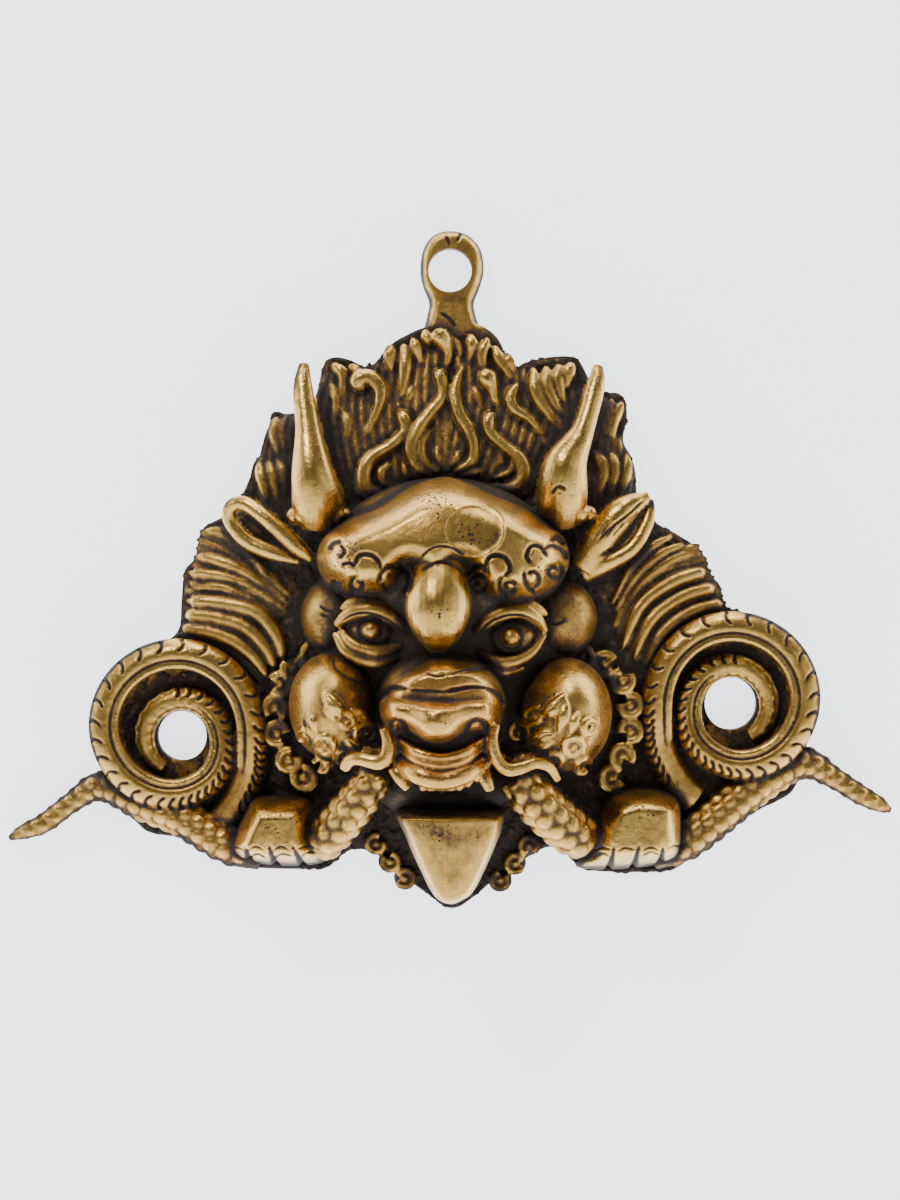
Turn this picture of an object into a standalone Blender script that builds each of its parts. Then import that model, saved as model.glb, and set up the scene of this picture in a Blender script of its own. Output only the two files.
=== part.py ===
"""Kirtimukha mask: a lion-like demon face with horns, a mane and two coiled serpents, cast in brass in one piece.

The wall is the plane y = 0, the face looks along -Y and Z is up. The origin is the middle of the hanging hole.
Carved forms are given in shares of the width, as x, z and depth out of the wall; walls and bores have their own sizes.
"""

import math

import bmesh
import bpy
import numpy as np
from mathutils import Matrix, Vector

MASK_WIDTH = 0.264  # from the tip of one tail to the tip of the other
EDGE = 0.0065  # thickness of the mane's plate along its rim
WALL = 0.0045  # metal left in front of the hollow of the head
SCOOP = 0.0055  # depth of the scoop behind the mane
RING_BORE = 0.013  # hole of the hanging ring
RING_BAR = 0.0031  # metal round that hole
RING_DEPTH = 0.0055  # the ring from the wall to its face
LEFT_COIL_BORE = 0.0148  # hole through the serpent at the viewer's left
RIGHT_COIL_BORE = 0.0156  # hole through the serpent at the viewer's right
HORN_LENGTH = 0.040  # from the root of a horn to its tip
TONGUE_DEPTH = 0.048  # from the wall to the flat of the tongue
MOUTH_DEPTH = 0.015  # how far the open mouth runs in behind the teeth
FACET_COUNT = 7950  # triangles that the cast skin keeps
GRAIN = 0.0009  # grain of the skin before it is thinned out

U = MASK_WIDTH / 264  # one share of the width
CASTING = "kirtimukha_mask"

for old in list(bpy.data.objects):
    bpy.data.objects.remove(old)
shown = bpy.data.collections.new("Kirtimukha Mask")
cutters = bpy.data.collections.new("Cutters")
bpy.context.scene.collection.children.link(shown)
bpy.context.scene.collection.children.link(cutters)


# Tools: closed forms are gathered as points and faces and as one curve, then fused.
points = []
faces = []
strands = bpy.data.curves.new("strands", "CURVE")
strands.dimensions = "3D"
strands.bevel_depth = U
strands.bevel_resolution = 2
strands.use_fill_caps = True


def gather(mesh, matrix=None):
    """Adds a closed bmesh to the forms and frees it."""
    if matrix:
        mesh.transform(matrix)
    mesh.verts.index_update()
    start = len(points)
    points.extend(vertex.co[:] for vertex in mesh.verts)
    faces.extend([start + vertex.index for vertex in face.verts] for face in mesh.faces)
    mesh.free()


globe = bmesh.new()
bmesh.ops.create_uvsphere(globe, u_segments=24, v_segments=14, radius=1)
globe_points = np.array([vertex.co[:] for vertex in globe.verts])
globe_faces = [[vertex.index for vertex in face.verts] for face in globe.faces]
globe.free()


def ball(x, z, depth, rx, rz, rd, tilt=0, square=1):
    """An ellipsoid facing the viewer; square below 1 makes it boxy, tilt turns it anticlockwise in degrees."""
    co = np.sign(globe_points) * np.abs(globe_points) ** square * (rx, rd, rz)
    turn = np.array(Matrix.Rotation(math.radians(-tilt), 3, "Y"))
    start = len(points)
    points.extend(((co @ turn.T + (x, -depth, z)) * U).tolist())
    faces.extend([start + index for index in face] for face in globe_faces)


def block(corners):
    """The convex block round a set of corners, each x, z and depth."""
    mesh = bmesh.new()
    verts = [mesh.verts.new(Vector((x, -depth, z)) * U) for x, z, depth in corners]
    made = bmesh.ops.convex_hull(mesh, input=verts)
    bmesh.ops.delete(mesh, geom=made["geom_interior"], context="VERTS")
    gather(mesh)


def drum(x, z, back, front, radius):
    """A round disc standing on the wall, its back and front given as depths in metres."""
    mesh = bmesh.new()
    bmesh.ops.create_cone(mesh, cap_ends=True, segments=48, radius1=radius, radius2=radius, depth=front - back)
    place = Matrix.Translation((x * U, -(front + back) / 2, z * U))
    gather(mesh, place @ Matrix.Rotation(math.pi / 2, 4, "X"))


def smooth_path(rows, count):
    """Samples of the curve that passes through all the rows."""
    p = np.array(rows, float)
    p = np.vstack([2 * p[0] - p[1], p, 2 * p[-1] - p[-2]])
    t = np.linspace(0, len(p) - 3, count)
    i = np.minimum(t.astype(int), len(p) - 4)
    f = (t - i)[:, None]
    a, b, c, d = p[i], p[i + 1], p[i + 2], p[i + 3]
    return 0.5 * (2 * b + (c - a) * f + (2 * a - 5 * b + 4 * c - d) * f**2 + (3 * b - a - 3 * c + d) * f**3)


def strand(rows, count=12):
    """A round strand through rows of x, z, depth and radius."""
    path = smooth_path(rows, count)
    spline = strands.splines.new("POLY")
    spline.points.add(len(path) - 1)
    for point, (x, z, depth, radius) in zip(spline.points, path):
        point.co = (x * U, -depth * U, z * U, 1)
        point.radius = max(radius, 0.3)


def rise(x, z):
    """How far the mane swells over its rim at a point."""
    return 9 * max(0.0, 1 - (x / 78) ** 2 - ((z + 104) / 80) ** 2)


def ground(x, z):
    return EDGE / U + rise(x, z)


def lock(root, tip, bow=0.0, swing=0.0, thick=1.7, lift=1.2):
    """A lock of hair on the mane: bow bends it to one side, swing gives it an S."""
    root, tip = np.array(root, float), np.array(tip, float)
    along = tip - root
    across = np.array([-along[1], along[0]])
    rows = []
    for t in np.linspace(0, 1, 7):
        side = bow * math.sin(math.pi * t) + swing * math.sin(2 * math.pi * t)
        x, z = root + along * t + across * side
        rows.append((x, z, ground(x, z) + lift, thick * (0.62 + 0.38 * math.sin(math.pi * min(1, t * 1.15)))))
    strand(rows, 11)


def fan(first, last, count, bow=0.0, swing=0.0, thick=1.7, lift=1.2):
    """Locks spread evenly from a first to a last, each root x, root z, tip x, tip z."""
    for share in np.linspace(0, 1, count):
        x0, z0, x1, z1 = (1 - share) * np.array(first, float) + share * np.array(last, float)
        lock((x0, z0), (x1, z1), bow, swing, thick, lift)


def gathered_mesh(name):
    """A mesh of the forms gathered so far, which are let go."""
    mesh = bpy.data.meshes.new(name)
    mesh.from_pydata(points, [], faces)
    points.clear()
    faces.clear()
    return mesh


# Mane: a plate with a lobed rim that swells towards the head.
left_rim = [(-6, -8), (-7, -16), (-17, -24), (-25, -31), (-36, -29), (-40, -44), (-51, -46), (-56, -60), (-68, -78),
            (-78, -92), (-80, -112), (-100, -122), (-102, -152), (-88, -166), (-74, -171), (-60, -178), (-38, -178),
            (-28, -173), (-15, -179), (-5, -187)]
right_rim = [(6, -186), (15, -179.5), (29, -171.5), (42, -178.5), (64, -178), (80, -168), (98, -156), (104, -140),
             (102, -114), (84, -104), (75, -87), (62, -77), (54, -64), (50, -52), (50, -39), (42, -38), (37, -28),
             (25, -29), (19, -31), (9, -17), (6, -8)]
rim = bpy.data.curves.new("mane plate", "CURVE")
rim.dimensions = "2D"
rim.fill_mode = "BOTH"
rim.extrude = EDGE / 2
outline = rim.splines.new("POLY")
outline.points.add(len(left_rim) + len(right_rim) - 1)
for point, (x, z) in zip(outline.points, left_rim + right_rim):
    point.co = (x * U, z * U, 0, 1)
outline.use_cyclic_u = True
plate = bpy.data.objects.new("mane plate", rim)
shown.objects.link(plate)
plate_mesh = bpy.data.meshes.new_from_object(plate)
plate_mesh.transform(Matrix.Translation((0, -EDGE / 2, 0)) @ Matrix.Rotation(math.pi / 2, 4, "X"))
bpy.data.objects.remove(plate)
bpy.data.curves.remove(rim)
weld = bmesh.new()
weld.from_mesh(plate_mesh)
bmesh.ops.remove_doubles(weld, verts=weld.verts, dist=1e-6)
weld.to_mesh(plate_mesh)
weld.free()
plate = bpy.data.objects.new("mane plate", plate_mesh)
shown.objects.link(plate)
grain = plate.modifiers.new("Grain", "REMESH")
grain.mode = "VOXEL"
grain.voxel_size = 2.2 * U
swollen = bpy.data.meshes.new_from_object(plate.evaluated_get(bpy.context.evaluated_depsgraph_get()))
bpy.data.objects.remove(plate)
bpy.data.meshes.remove(plate_mesh)
for vertex in swollen.vertices:
    if vertex.co.y < -EDGE / 2:
        vertex.co.y -= rise(vertex.co.x / U, vertex.co.z / U) * U
    else:
        vertex.co.y += 2 * U
mane = bmesh.new()
mane.from_mesh(swollen)
bpy.data.meshes.remove(swollen)
gather(mane)

# Crown, lobes and side bands of the mane, from the middle outwards.
fan((-14, -38, -18, -24), (-6, -31, -8, -17), 4, thick=1.6)
fan((5, -29, 5.5, -17), (18, -36, 17, -26), 4, bow=0.08, thick=1.6)
fan((-31, -46, -37, -30), (-23, -38, -27, -29.5), 3, bow=-0.1, thick=1.8)
fan((31, -52, 21, -33), (38, -40, 37.5, -28.5), 6, bow=0.12, thick=1.5)
fan((-55, -74, -58, -60), (-44, -56, -47, -43.5), 4, bow=0.12, thick=2.1)
fan((43, -54, 45.5, -38), (51, -70, 54, -58), 5, bow=-0.12, thick=1.9)
fan((-48, -90, -73, -79), (-55, -121, -81, -107), 8, bow=-0.13, thick=1.9)
fan((44, -96, 67, -79), (57, -121, 84, -100), 7, bow=0.13, thick=1.9)
lock((-1, -31), (-3, -18.5), thick=2.5, lift=1.8)
lock((14, -41), (10.5, -32), bow=-0.1, thick=2.6, lift=1.8)
lock((-6, -66), (-4, -29.5), bow=0.1, swing=0.17, thick=1.9, lift=2)
lock((1, -66), (4.5, -28.5), bow=-0.06, swing=-0.13, thick=1.8, lift=2)
lock((-17, -70), (-14.5, -42), bow=0.12, swing=0.24, thick=2.1, lift=2)
lock((17, -70), (11.5, -42), bow=-0.12, swing=-0.2, thick=2.1, lift=2)
lock((-26, -58), (-25, -33), bow=-0.14, swing=0.08, thick=1.8, lift=2)
lock((29.5, -58), (19, -35), bow=0.02, swing=-0.09, thick=1.8, lift=2)
fan((-10, -66, -22, -58), (-24, -70, -29, -61), 3, bow=0.2, thick=1.5, lift=2)
fan((3, -65, 10, -55), (21, -68, 25, -58), 4, bow=-0.2, thick=1.5, lift=2)

# Head: skull, face, brows, bridge, temples, snout and cheeks. The hollow follows the first five.
head_forms = [
    (-2, -89, 12, 36, 27.5, 32, 0, 1),
    (-2, -108, 4, 43, 38, 32, 0, 1),
    (-2.5, -128, 22, 19.5, 15, 37, 0, 0.85),
    (-34.5, -129.5, 22, 13.2, 16, 24, 0, 1),
    (34, -132, 22, 14, 17, 24, 0, 1),
]
for form in head_forms:
    ball(*form)
ball(-2.5, -141, 22, 19.5, 13, 31, 0, 0.85)
ball(-2, -154, 12, 23, 14, 24)
ball(-26, -88.5, 34, 14.5, 8.5, 16, -8)
ball(20.5, -89, 34, 15, 8.5, 16, 8)
ball(-2.8, -98, 38, 8.6, 14.5, 16)
ball(-40, -101.5, 20, 6, 10.5, 13)
ball(36, -101.5, 20, 9, 10, 13)
for x, z, radius in ((-36, -92, 3.4), (-31, -96, 3.2), (-25, -97, 3.2), (-19, -96.5, 3.4), (-14.5, -93, 3.2),
                     (6, -96, 3.2), (11, -98, 3.4), (17, -98, 3.2), (23, -97, 3.2), (29, -93, 3.4), (32.5, -88, 3)):
    ball(x, z, 46.5 - abs(x + 2) * 0.26, radius, radius, 3.4)

# Eyes: ball, pupil and lids.
for x, z, outer in ((-22.8, -107.2, -1), (17.4, -109.6, 1)):
    ball(x, z, 31, 7.5, 5.6, 6.5)
    ball(x, z, 37, 2.5, 2.5, 2.4)
    for lid, reach in ((5.6, 1.4), (-5.2, 1.1)):
        strand([(x - outer * 9.8, z - 2.6, 35, 0.9), (x - outer * 4, z + lid * 0.62, 38, reach),
                (x + outer * 2, z + lid, 38, reach), (x + outer * 8.4, z + 1.2, 33.5, 0.9)])

# Nose: ball and wings under two folds, then the lip's bands, the teeth and the whiskers.
ball(-4.4, -130, 54, 8.8, 8.4, 10)
ball(-15.2, -130.5, 50, 6.2, 5.4, 8)
ball(8.6, -130.5, 50, 6.2, 5.4, 8)
for height, reach, thick in ((-122.5, 15.5, 2.2), (-117.2, 11, 1.7)):
    strand([(-2.5 - reach, height - 2.6, 50, thick), (-2.5 - reach * 0.5, height, 55.5, thick), (-2.5, height - 1, 57, thick),
            (-2.5 + reach * 0.5, height, 55.5, thick), (-2.5 + reach, height - 2.6, 50, thick)])
for height, thick, front in ((-140.2, 2.6, 51.5), (-144.8, 2.4, 50.5), (-149.3, 2.4, 49)):
    strand([(-17.5, height + 3.5, front - 8, thick), (-10.5, height - 0.5, front - 0.8, thick), (-2.5, height - 2, front + 1, thick),
            (5.5, height - 0.5, front - 0.8, thick), (12.8, height + 3.5, front - 8, thick)])
for x in np.linspace(-8.2, 9, 7):
    ball(x, -152.6 + 0.012 * x * x, 48.6, 1.35, 2.1, 1.6)
strand([(-15.6, -147, 46, 2), (-13.4, -150.4, 47, 1.6), (-11.4, -153.8, 47, 0.9)], 6)
strand([(11, -147, 46, 2), (12, -151, 47, 1.6), (12.6, -154.6, 47, 0.9)], 6)
strand([(-18.4, -132, 48, 1.8), (-18, -139, 48, 2), (-18.2, -145.8, 46, 1.9), (-22.4, -146.6, 44, 1.7),
        (-27, -144.6, 43, 1.6), (-31.6, -146.4, 40, 1.3)], 16)
strand([(14, -132, 48, 1.8), (13.6, -139, 48, 2), (15, -145.6, 46, 1.9), (20, -146.6, 44, 1.7),
        (26, -146.4, 42, 1.6), (31, -150.4, 38, 1.3)], 16)

# Scrolls chased on the cheeks.
for x, z, radius in ((-29, -134, 3.6), (-25, -137, 3), (-33, -139.5, 3.2), (-28, -141, 2.8),
                     (20.5, -136, 3.8), (28, -137.5, 3.4), (34, -142, 3.2), (38, -138.5, 3), (35, -147, 3)):
    ball(x, z, 40.5 - abs(abs(x) - 30) * 0.25, radius, radius, 4)

# Beads round the cheeks and behind the tongue.
for side, middle in ((-1, -129.5), (1, -132)):
    for angle in np.linspace(75, 235, 8):
        x = side * (35 - 17 * math.cos(math.radians(angle)))
        z = middle + 20 * math.sin(math.radians(angle))
        ball(x, z, ground(x, z) + 4, 3.1, 3.1, 5)
    for share in np.linspace(0, 1, 4):
        ball(side * (24 - 13 * share), -167 - 14 * share, 10, 2.6, 2.6, 4)

# Tongue: a thick wedge with a flat face and a bevel down its right side.
flat = TONGUE_DEPTH / U
block([(-15.6, -160.8, flat), (12.8, -160.4, flat), (-1.6, -187, flat - 5), (2.4, -186.6, flat - 5),
       (-17, -160, flat - 8), (15.6, -163.5, flat - 5), (7.4, -184, flat - 8), (-2.6, -188.5, flat - 10),
       (3.4, -188.5, flat - 10), (-17, -158, 4), (16, -158, 4), (0.6, -190.6, 4), (-14, -158.5, flat - 4),
       (12, -158.5, flat - 4)])

# Serpent necks from the corners of the mouth to the paws.
for rows in ([(-20.5, -148, 32, 5), (-26.8, -157, 30, 5.6), (-33, -165, 24, 5.4), (-38, -169, 20, 5)],
             [(19.2, -149.5, 34, 5.4), (26.5, -158, 31, 6.2), (34, -164.8, 25, 6), (42, -169, 20, 5.4)]):
    strand(rows, 14)
    for x, z, depth, radius in smooth_path(rows, 7)[:-1]:
        for turn in (-50, 0, 50):
            tilt = math.radians(turn)
            ball(x + radius * 0.75 * math.sin(tilt), z + radius * 0.55 * math.sin(tilt), depth + radius * 0.72 * math.cos(tilt),
                 2.1, 2.1, 2)

# Paws: a smooth pad over four fingers.
for left, right, top, foot in ((-65.5, -37.6, -156.2, -178.2), (42, 69.6, -153.8, -179.2)):
    middle, width = (left + right) / 2, right - left
    ball(middle, (top + foot) / 2 + 2.6, 14, width / 2, (top - foot) / 2 - 1.6, 15.5, 0, 0.62)
    for share in (0.13, 0.375, 0.625, 0.87):
        x = left + share * width
        strand([(x, foot + 8.5, 22, width / 8.6), (x, foot + 5, 23.5, width / 8.2), (x, foot + 3.6, 18, width / 8.2)], 6)

# Horns, rooted in collars of hair.
horn = HORN_LENGTH / U
for x0, z0, x1, lean in ((-38.5, -68, -43, -2.4), (33, -68.5, 43.4, 1.5)):
    z1 = z0 + horn
    strand([(x0, z0 - 6, 20, 7.2), (x0, z0, 25, 7.3), (x0 + (x1 - x0) * 0.3 + lean, z0 + horn * 0.27, 27, 5),
            (x0 + (x1 - x0) * 0.72 + lean * 0.4, z0 + horn * 0.55, 25, 3.2), (x0 + (x1 - x0) * 0.96, z0 + horn * 0.82, 22, 2.5),
            (x1, z1 - 0.8, 19.5, 1.2)], 18)
    for turn in np.linspace(-60, 60, 5):
        ball(x0 + 8 * math.sin(math.radians(turn)), z0 - 6.5, 20 + 8 * math.cos(math.radians(turn)), 2.5, 2.4, 3)

# Ears: an open loop at the left, a furled leaf at the right.
strand([(-43, -84, 20, 2.6), (-54.5, -72.8, 22, 2.2), (-61.8, -70, 20, 2), (-64.6, -73.8, 17, 1.9), (-59.5, -81, 17, 2),
        (-50, -86.5, 18, 2.2), (-43, -88, 18, 2.2)], 22)
ball(-53, -80, 12, 10, 3, 6, 40)
ball(50, -75.5, 18, 12.4, 5, 5.5, 40)
strand([(41, -88, 18, 2.6), (48, -86.5, 20, 2.3), (55.5, -82.4, 20, 2), (60.2, -74, 19, 1.8), (59.6, -68, 18, 1.4)], 16)


def serpent(x, z, hole_x, hole_z, side, bore):
    """A serpent coiled one and a half times about its hole, side 1 running as at the viewer's left."""
    drum(x, z, -2 * U, EDGE, 23 * U)
    inner = bore / U / 2 + 3.6
    law = [(-70, 31, 7, 5), (-35, 25.5, 10, 4.8), (0, 22, 12.5, 4.7), (90, 22, 12.8, 4.6), (180, 21.8, 12.6, 4.7),
           (250, 19.5, 12.2, 4.6), (300, 16.5, 11.5, 4.4), (360, inner + 1.5, 9.8, 4), (450, inner, 8, 3.5), (540, inner, 7, 3),
           (600, inner, 6.6, 2.4)]
    path = smooth_path(law, 96)
    rows = []
    for degrees, radius, depth, thick in path:
        share = min(1, max(0, (degrees - 200) / 160))
        cx, cz = x + (hole_x - x) * share, z + (hole_z - z) * share
        angle = math.radians(degrees)
        rows.append((cx + side * radius * math.cos(angle), cz + radius * math.sin(angle), depth, thick))
    strand(rows, 110)
    for degrees, radius, depth, thick in smooth_path(law, 60)[3:38]:
        angle = math.radians(degrees)
        reach = radius + thick * 0.62
        ball(x + side * reach * math.cos(angle), z + reach * math.sin(angle), depth + thick * 0.3, 1.9, 1.9, 2.8)
    for degrees in range(20, 200, 24):
        angle = math.radians(degrees)
        ball(hole_x + side * (inner + 1.8) * math.cos(angle), hole_z + (inner + 1.8) * math.sin(angle), 9, 1.7, 1.7, 2.6)


serpent(-80.8, -136.5, -80, -139, 1, LEFT_COIL_BORE)
serpent(83.5, -128.4, 83.8, -129.4, -1, RIGHT_COIL_BORE)

# Bodies under the coils and the tails that leave the plate.
for rows, scales in (([(-56, -174, 9, 5), (-66, -171.5, 10, 5.4), (-80, -163, 9, 5.6), (-92, -158.5, 7, 5.4), (-104, -154, 5, 4.4),
                       (-112.8, -158.8, 4, 3.2), (-121, -165, 3.6, 3), (-127.5, -167.8, 3, 2.3), (-132, -169.8, 2.4, 0.8)], 16),
                     ([(60, -174, 9, 5), (70, -170.5, 10, 5.4), (81, -162, 9, 5.6), (93, -152.5, 7, 5.6), (105, -147, 5, 4.8),
                       (114.6, -151.6, 4, 3.3), (122.5, -156.6, 3.6, 3), (128.5, -159.7, 3, 2.3), (132, -161.6, 2.4, 0.8)], 16)):
    strand(rows, 30)
    for x, z, depth, radius in smooth_path(rows, scales)[2:-1]:
        for share in (-0.5, 0.5):
            ball(x + share * radius * 0.7, z + share * radius * 0.9, depth + radius * 0.62, radius * 0.42, radius * 0.42, radius * 0.5)

# Ring: a flat eye on a neck that runs down into the mane.
ring_radius = (RING_BORE / 2 + RING_BAR) / U
ring_front = RING_DEPTH / U
drum(0, 0, -2 * U, RING_DEPTH, ring_radius * U)
block([(side * reach, height, depth) for side in (-1, 1) for reach, height in ((ring_radius * 0.9, -2), (6.7, -9), (7.5, -18))
       for depth in (-2, ring_front)])

# Skin: the forms fused into one, cut off a little behind the wall and thinned to the facets that carry the carving.
strand_object = bpy.data.objects.new("strands", strands)
shown.objects.link(strand_object)
strand_mesh = bpy.data.meshes.new_from_object(strand_object)
bpy.data.objects.remove(strand_object)
bpy.data.curves.remove(strands)
hair = bmesh.new()
hair.from_mesh(strand_mesh)
bpy.data.meshes.remove(strand_mesh)
bmesh.ops.remove_doubles(hair, verts=hair.verts, dist=1e-6)
gather(hair)
casting = bpy.data.objects.new(CASTING, gathered_mesh(CASTING))
shown.objects.link(casting)


def settle(target):
    """Bakes the modifiers of an object into its mesh."""
    mesh = bpy.data.meshes.new_from_object(target.evaluated_get(bpy.context.evaluated_depsgraph_get()))
    target.modifiers.clear()
    before = target.data
    target.data = mesh
    mesh.name = target.name
    bpy.data.meshes.remove(before)
    return mesh


def keep_front(mesh, plane):
    """Cuts a closed mesh off behind a plane parallel to the wall and closes it again."""
    cut = bmesh.new()
    cut.from_mesh(mesh)
    made = bmesh.ops.bisect_plane(cut, geom=cut.verts[:] + cut.edges[:] + cut.faces[:], plane_co=(0, plane, 0),
                                  plane_no=(0, 1, 0), clear_outer=True)
    edges = [item for item in made["geom_cut"] if isinstance(item, bmesh.types.BMEdge)]
    bmesh.ops.holes_fill(cut, edges=edges, sides=0)
    bmesh.ops.triangulate(cut, faces=[face for face in cut.faces if len(face.verts) > 4])
    keep_skin(cut)
    cut.to_mesh(mesh)
    cut.free()


def keep_skin(cut):
    """Drops the pockets that fusing leaves inside the metal, so that one skin is left."""
    loose = set(cut.verts)
    skins = []
    while loose:
        reached = [loose.pop()]
        for vertex in reached:
            near = [edge.other_vert(vertex) for edge in vertex.link_edges]
            fresh = [other for other in near if other in loose]
            loose.difference_update(fresh)
            reached.extend(fresh)
        skins.append(reached)
    skins.sort(key=len)
    bmesh.ops.delete(cut, geom=[vertex for skin in skins[:-1] for vertex in skin], context="VERTS")


fuse = casting.modifiers.new("Fuse", "REMESH")
fuse.mode = "VOXEL"
fuse.voxel_size = GRAIN
soften = casting.modifiers.new("Soften", "SMOOTH")
soften.factor = 0.5
soften.iterations = 2
spare = 1.5 * U
keep_front(settle(casting), spare)
thin = casting.modifiers.new("Thin", "DECIMATE")
triangles = sum(len(face.vertices) - 2 for face in casting.data.polygons)
thin.ratio = FACET_COUNT / triangles
settle(casting)


def cutter(name, mesh):
    """A closed mesh that is taken out of the casting."""
    target = bpy.data.objects.new(name, mesh)
    cutters.objects.link(target)
    target.display_type = "WIRE"
    target.hide_render = True
    cut = casting.modifiers.new(name, "BOOLEAN")
    cut.operation = "DIFFERENCE"
    cut.solver = "EXACT"
    cut.object = target
    return target


# Hollow: the head forms less the wall, a scoop behind the mane and one behind the jaw, open at the back.
for x, z, depth, rx, rz, rd, tilt, square in head_forms:
    ball(x, z, depth, rx - WALL / U, rz - WALL / U, rd - WALL / U, tilt, square)
ball(-1, -104, 0, 66, 62, SCOOP / U)
ball(-1, -159, 0, 15, 17, 24)
hollow = cutter("hollow", gathered_mesh("hollow"))
fuse = hollow.modifiers.new("Fuse", "REMESH")
fuse.mode = "VOXEL"
fuse.voxel_size = 1.6 * U
soften = hollow.modifiers.new("Soften", "SMOOTH")
soften.factor = 0.5
soften.iterations = 6
thin = hollow.modifiers.new("Thin", "DECIMATE")
thin.ratio = 0.022
settle(hollow)

# Mouth: an open slot between the teeth and the tongue.
ball(-0.9, -157.4, flat + 8 - MOUTH_DEPTH / U / 2, 15.6, 3.5, MOUTH_DEPTH / U / 2 + 8, 0, 0.6)
cutter("mouth", gathered_mesh("mouth"))

# Bores of the ring and of the two coils, which run past the metal at both ends.
bore_back, bore_front = -10 * U, 40 * U
for name, x, z, bore in (("ring bore", 0, 0, RING_BORE), ("left coil bore", -80, -139, LEFT_COIL_BORE),
                         ("right coil bore", 83.8, -129.4, RIGHT_COIL_BORE)):
    drum(x, z, bore_back, bore_front, bore / 2)
    cutter(name, gathered_mesh(name))

# Back: ground flat where it meets the wall.
slab = bmesh.new()
bmesh.ops.create_cube(slab, size=1)
size = 1.2 * MASK_WIDTH
depth = 0.15 * MASK_WIDTH
middle = -0.37 * MASK_WIDTH
gather(slab, Matrix.Translation((0, depth / 2, middle)) @ Matrix.Diagonal((size, depth, size, 1)))
cutter("wall", gathered_mesh("wall"))

brass = bpy.data.materials.new("brass")
brass.use_nodes = True
shader = brass.node_tree.nodes["Principled BSDF"]
shader.inputs["Base Color"].default_value = (0.58, 0.38, 0.15, 1)
shader.inputs["Metallic"].default_value = 1
shader.inputs["Roughness"].default_value = 0.34
casting.data.materials.clear()
casting.data.materials.append(brass)
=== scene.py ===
"""The looks of the kirtimukha mask: one brass casting, dark in its grooves, bright where rubbing has worn
it, and painted darker where shade falls.

Forms are in millimetres as x, z and depth out of the wall. Outlines, locks and chased lines are in pixels
of a picture 900 wide and 1200 high, which at() turns into millimetres.
"""

import math

import bmesh
import bpy
import numpy as np
from mathutils import Matrix, Vector
from mathutils.noise import fractal


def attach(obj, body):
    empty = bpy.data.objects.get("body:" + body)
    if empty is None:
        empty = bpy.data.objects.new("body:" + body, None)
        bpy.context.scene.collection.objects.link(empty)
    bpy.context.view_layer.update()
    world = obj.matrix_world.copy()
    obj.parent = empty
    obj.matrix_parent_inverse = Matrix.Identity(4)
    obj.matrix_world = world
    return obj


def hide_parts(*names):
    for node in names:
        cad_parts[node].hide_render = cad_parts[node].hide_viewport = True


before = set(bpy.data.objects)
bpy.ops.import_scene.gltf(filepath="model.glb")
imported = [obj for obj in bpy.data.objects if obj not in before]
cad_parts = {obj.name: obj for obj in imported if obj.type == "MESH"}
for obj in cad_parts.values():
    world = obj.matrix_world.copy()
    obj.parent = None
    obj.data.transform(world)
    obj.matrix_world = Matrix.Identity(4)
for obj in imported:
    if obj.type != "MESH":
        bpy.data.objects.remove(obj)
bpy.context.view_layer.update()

# Camera: square on to the face, as the photograph was taken. It also tells the chasing where a
# pixel lies.
VIEW_RANGE = 1.2  # metres from the wall
VIEW_WIDTH = 0.27  # what the picture's width takes in at the wall
VIEW_HEIGHT = -0.0985  # height of the picture's middle
PICTURE_WIDTH = 900
PICTURE_HEIGHT = 1200
lens = bpy.data.cameras.new("camera")
lens.sensor_fit = "HORIZONTAL"
lens.sensor_width = 36
lens.lens = 36 * VIEW_RANGE / VIEW_WIDTH


def placed(name, data):
    """A new object for some data, linked to the scene."""
    made = bpy.data.objects.new(name, data)
    bpy.context.scene.collection.objects.link(made)
    return made


camera = placed("camera", lens)
camera.location = (0, -VIEW_RANGE, VIEW_HEIGHT)
camera.rotation_euler = (math.pi / 2, 0, 0)
bpy.context.scene.camera = camera


def at(px, py, depth):
    """x, z and depth in millimetres of what shows at a pixel, at a depth out of the wall."""
    scale = 1000 * VIEW_WIDTH / PICTURE_WIDTH * (1 - depth / (1000 * VIEW_RANGE))
    return (px - PICTURE_WIDTH / 2) * scale, 1000 * VIEW_HEIGHT + (PICTURE_HEIGHT / 2
        - py) * scale, depth


# Mane: the plate behind the face, cast with the locks of hair and the ring; its rim is lobed and
# its back lies flat. The locks are modelled as strands of wax would be, thick where they curl over,
# and fused with the plate.
RIM = 6.5  # thickness of the plate at its edge
MANE_GRAIN = 0.5  # the finest step that the fused skin follows
STRAND_SIDES = 24


def new_forms():
    """An empty collection of closed forms, in millimetres."""
    return {"points": [], "faces": []}


def add_form(forms, co, polygons):
    """Puts one closed form, given as points and faces, among the others."""
    start = len(forms["points"])
    forms["points"].extend(np.asarray(co).tolist())
    forms["faces"].extend([start + index for index in polygon] for polygon in polygons)


def add_bmesh(forms, mesh):
    """The same for a bmesh, which is freed."""
    mesh.verts.index_update()
    add_form(forms, [v.co[:] for v in mesh.verts], [[v.index for v in f.verts] for f in mesh.faces])
    mesh.free()


globe = bmesh.new()
bmesh.ops.create_uvsphere(globe, u_segments=64, v_segments=40, radius=1)
globe_points = np.array([vertex.co[:] for vertex in globe.verts])
globe_faces = [[vertex.index for vertex in face.verts] for face in globe.faces]
globe.free()


def ball(forms, x, z, depth, rx, rz, rd, tilt=0, square=1):
    """An ellipsoid facing the viewer; square below 1 makes it boxy, tilt turns it anticlockwise in
    degrees."""
    co = np.sign(globe_points) * np.abs(globe_points) ** square * (rx, rd, rz)
    turn = np.array(Matrix.Rotation(math.radians(-tilt), 3, "Y"))
    add_form(forms, co @ turn.T + (x, -depth, z), globe_faces)


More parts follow.
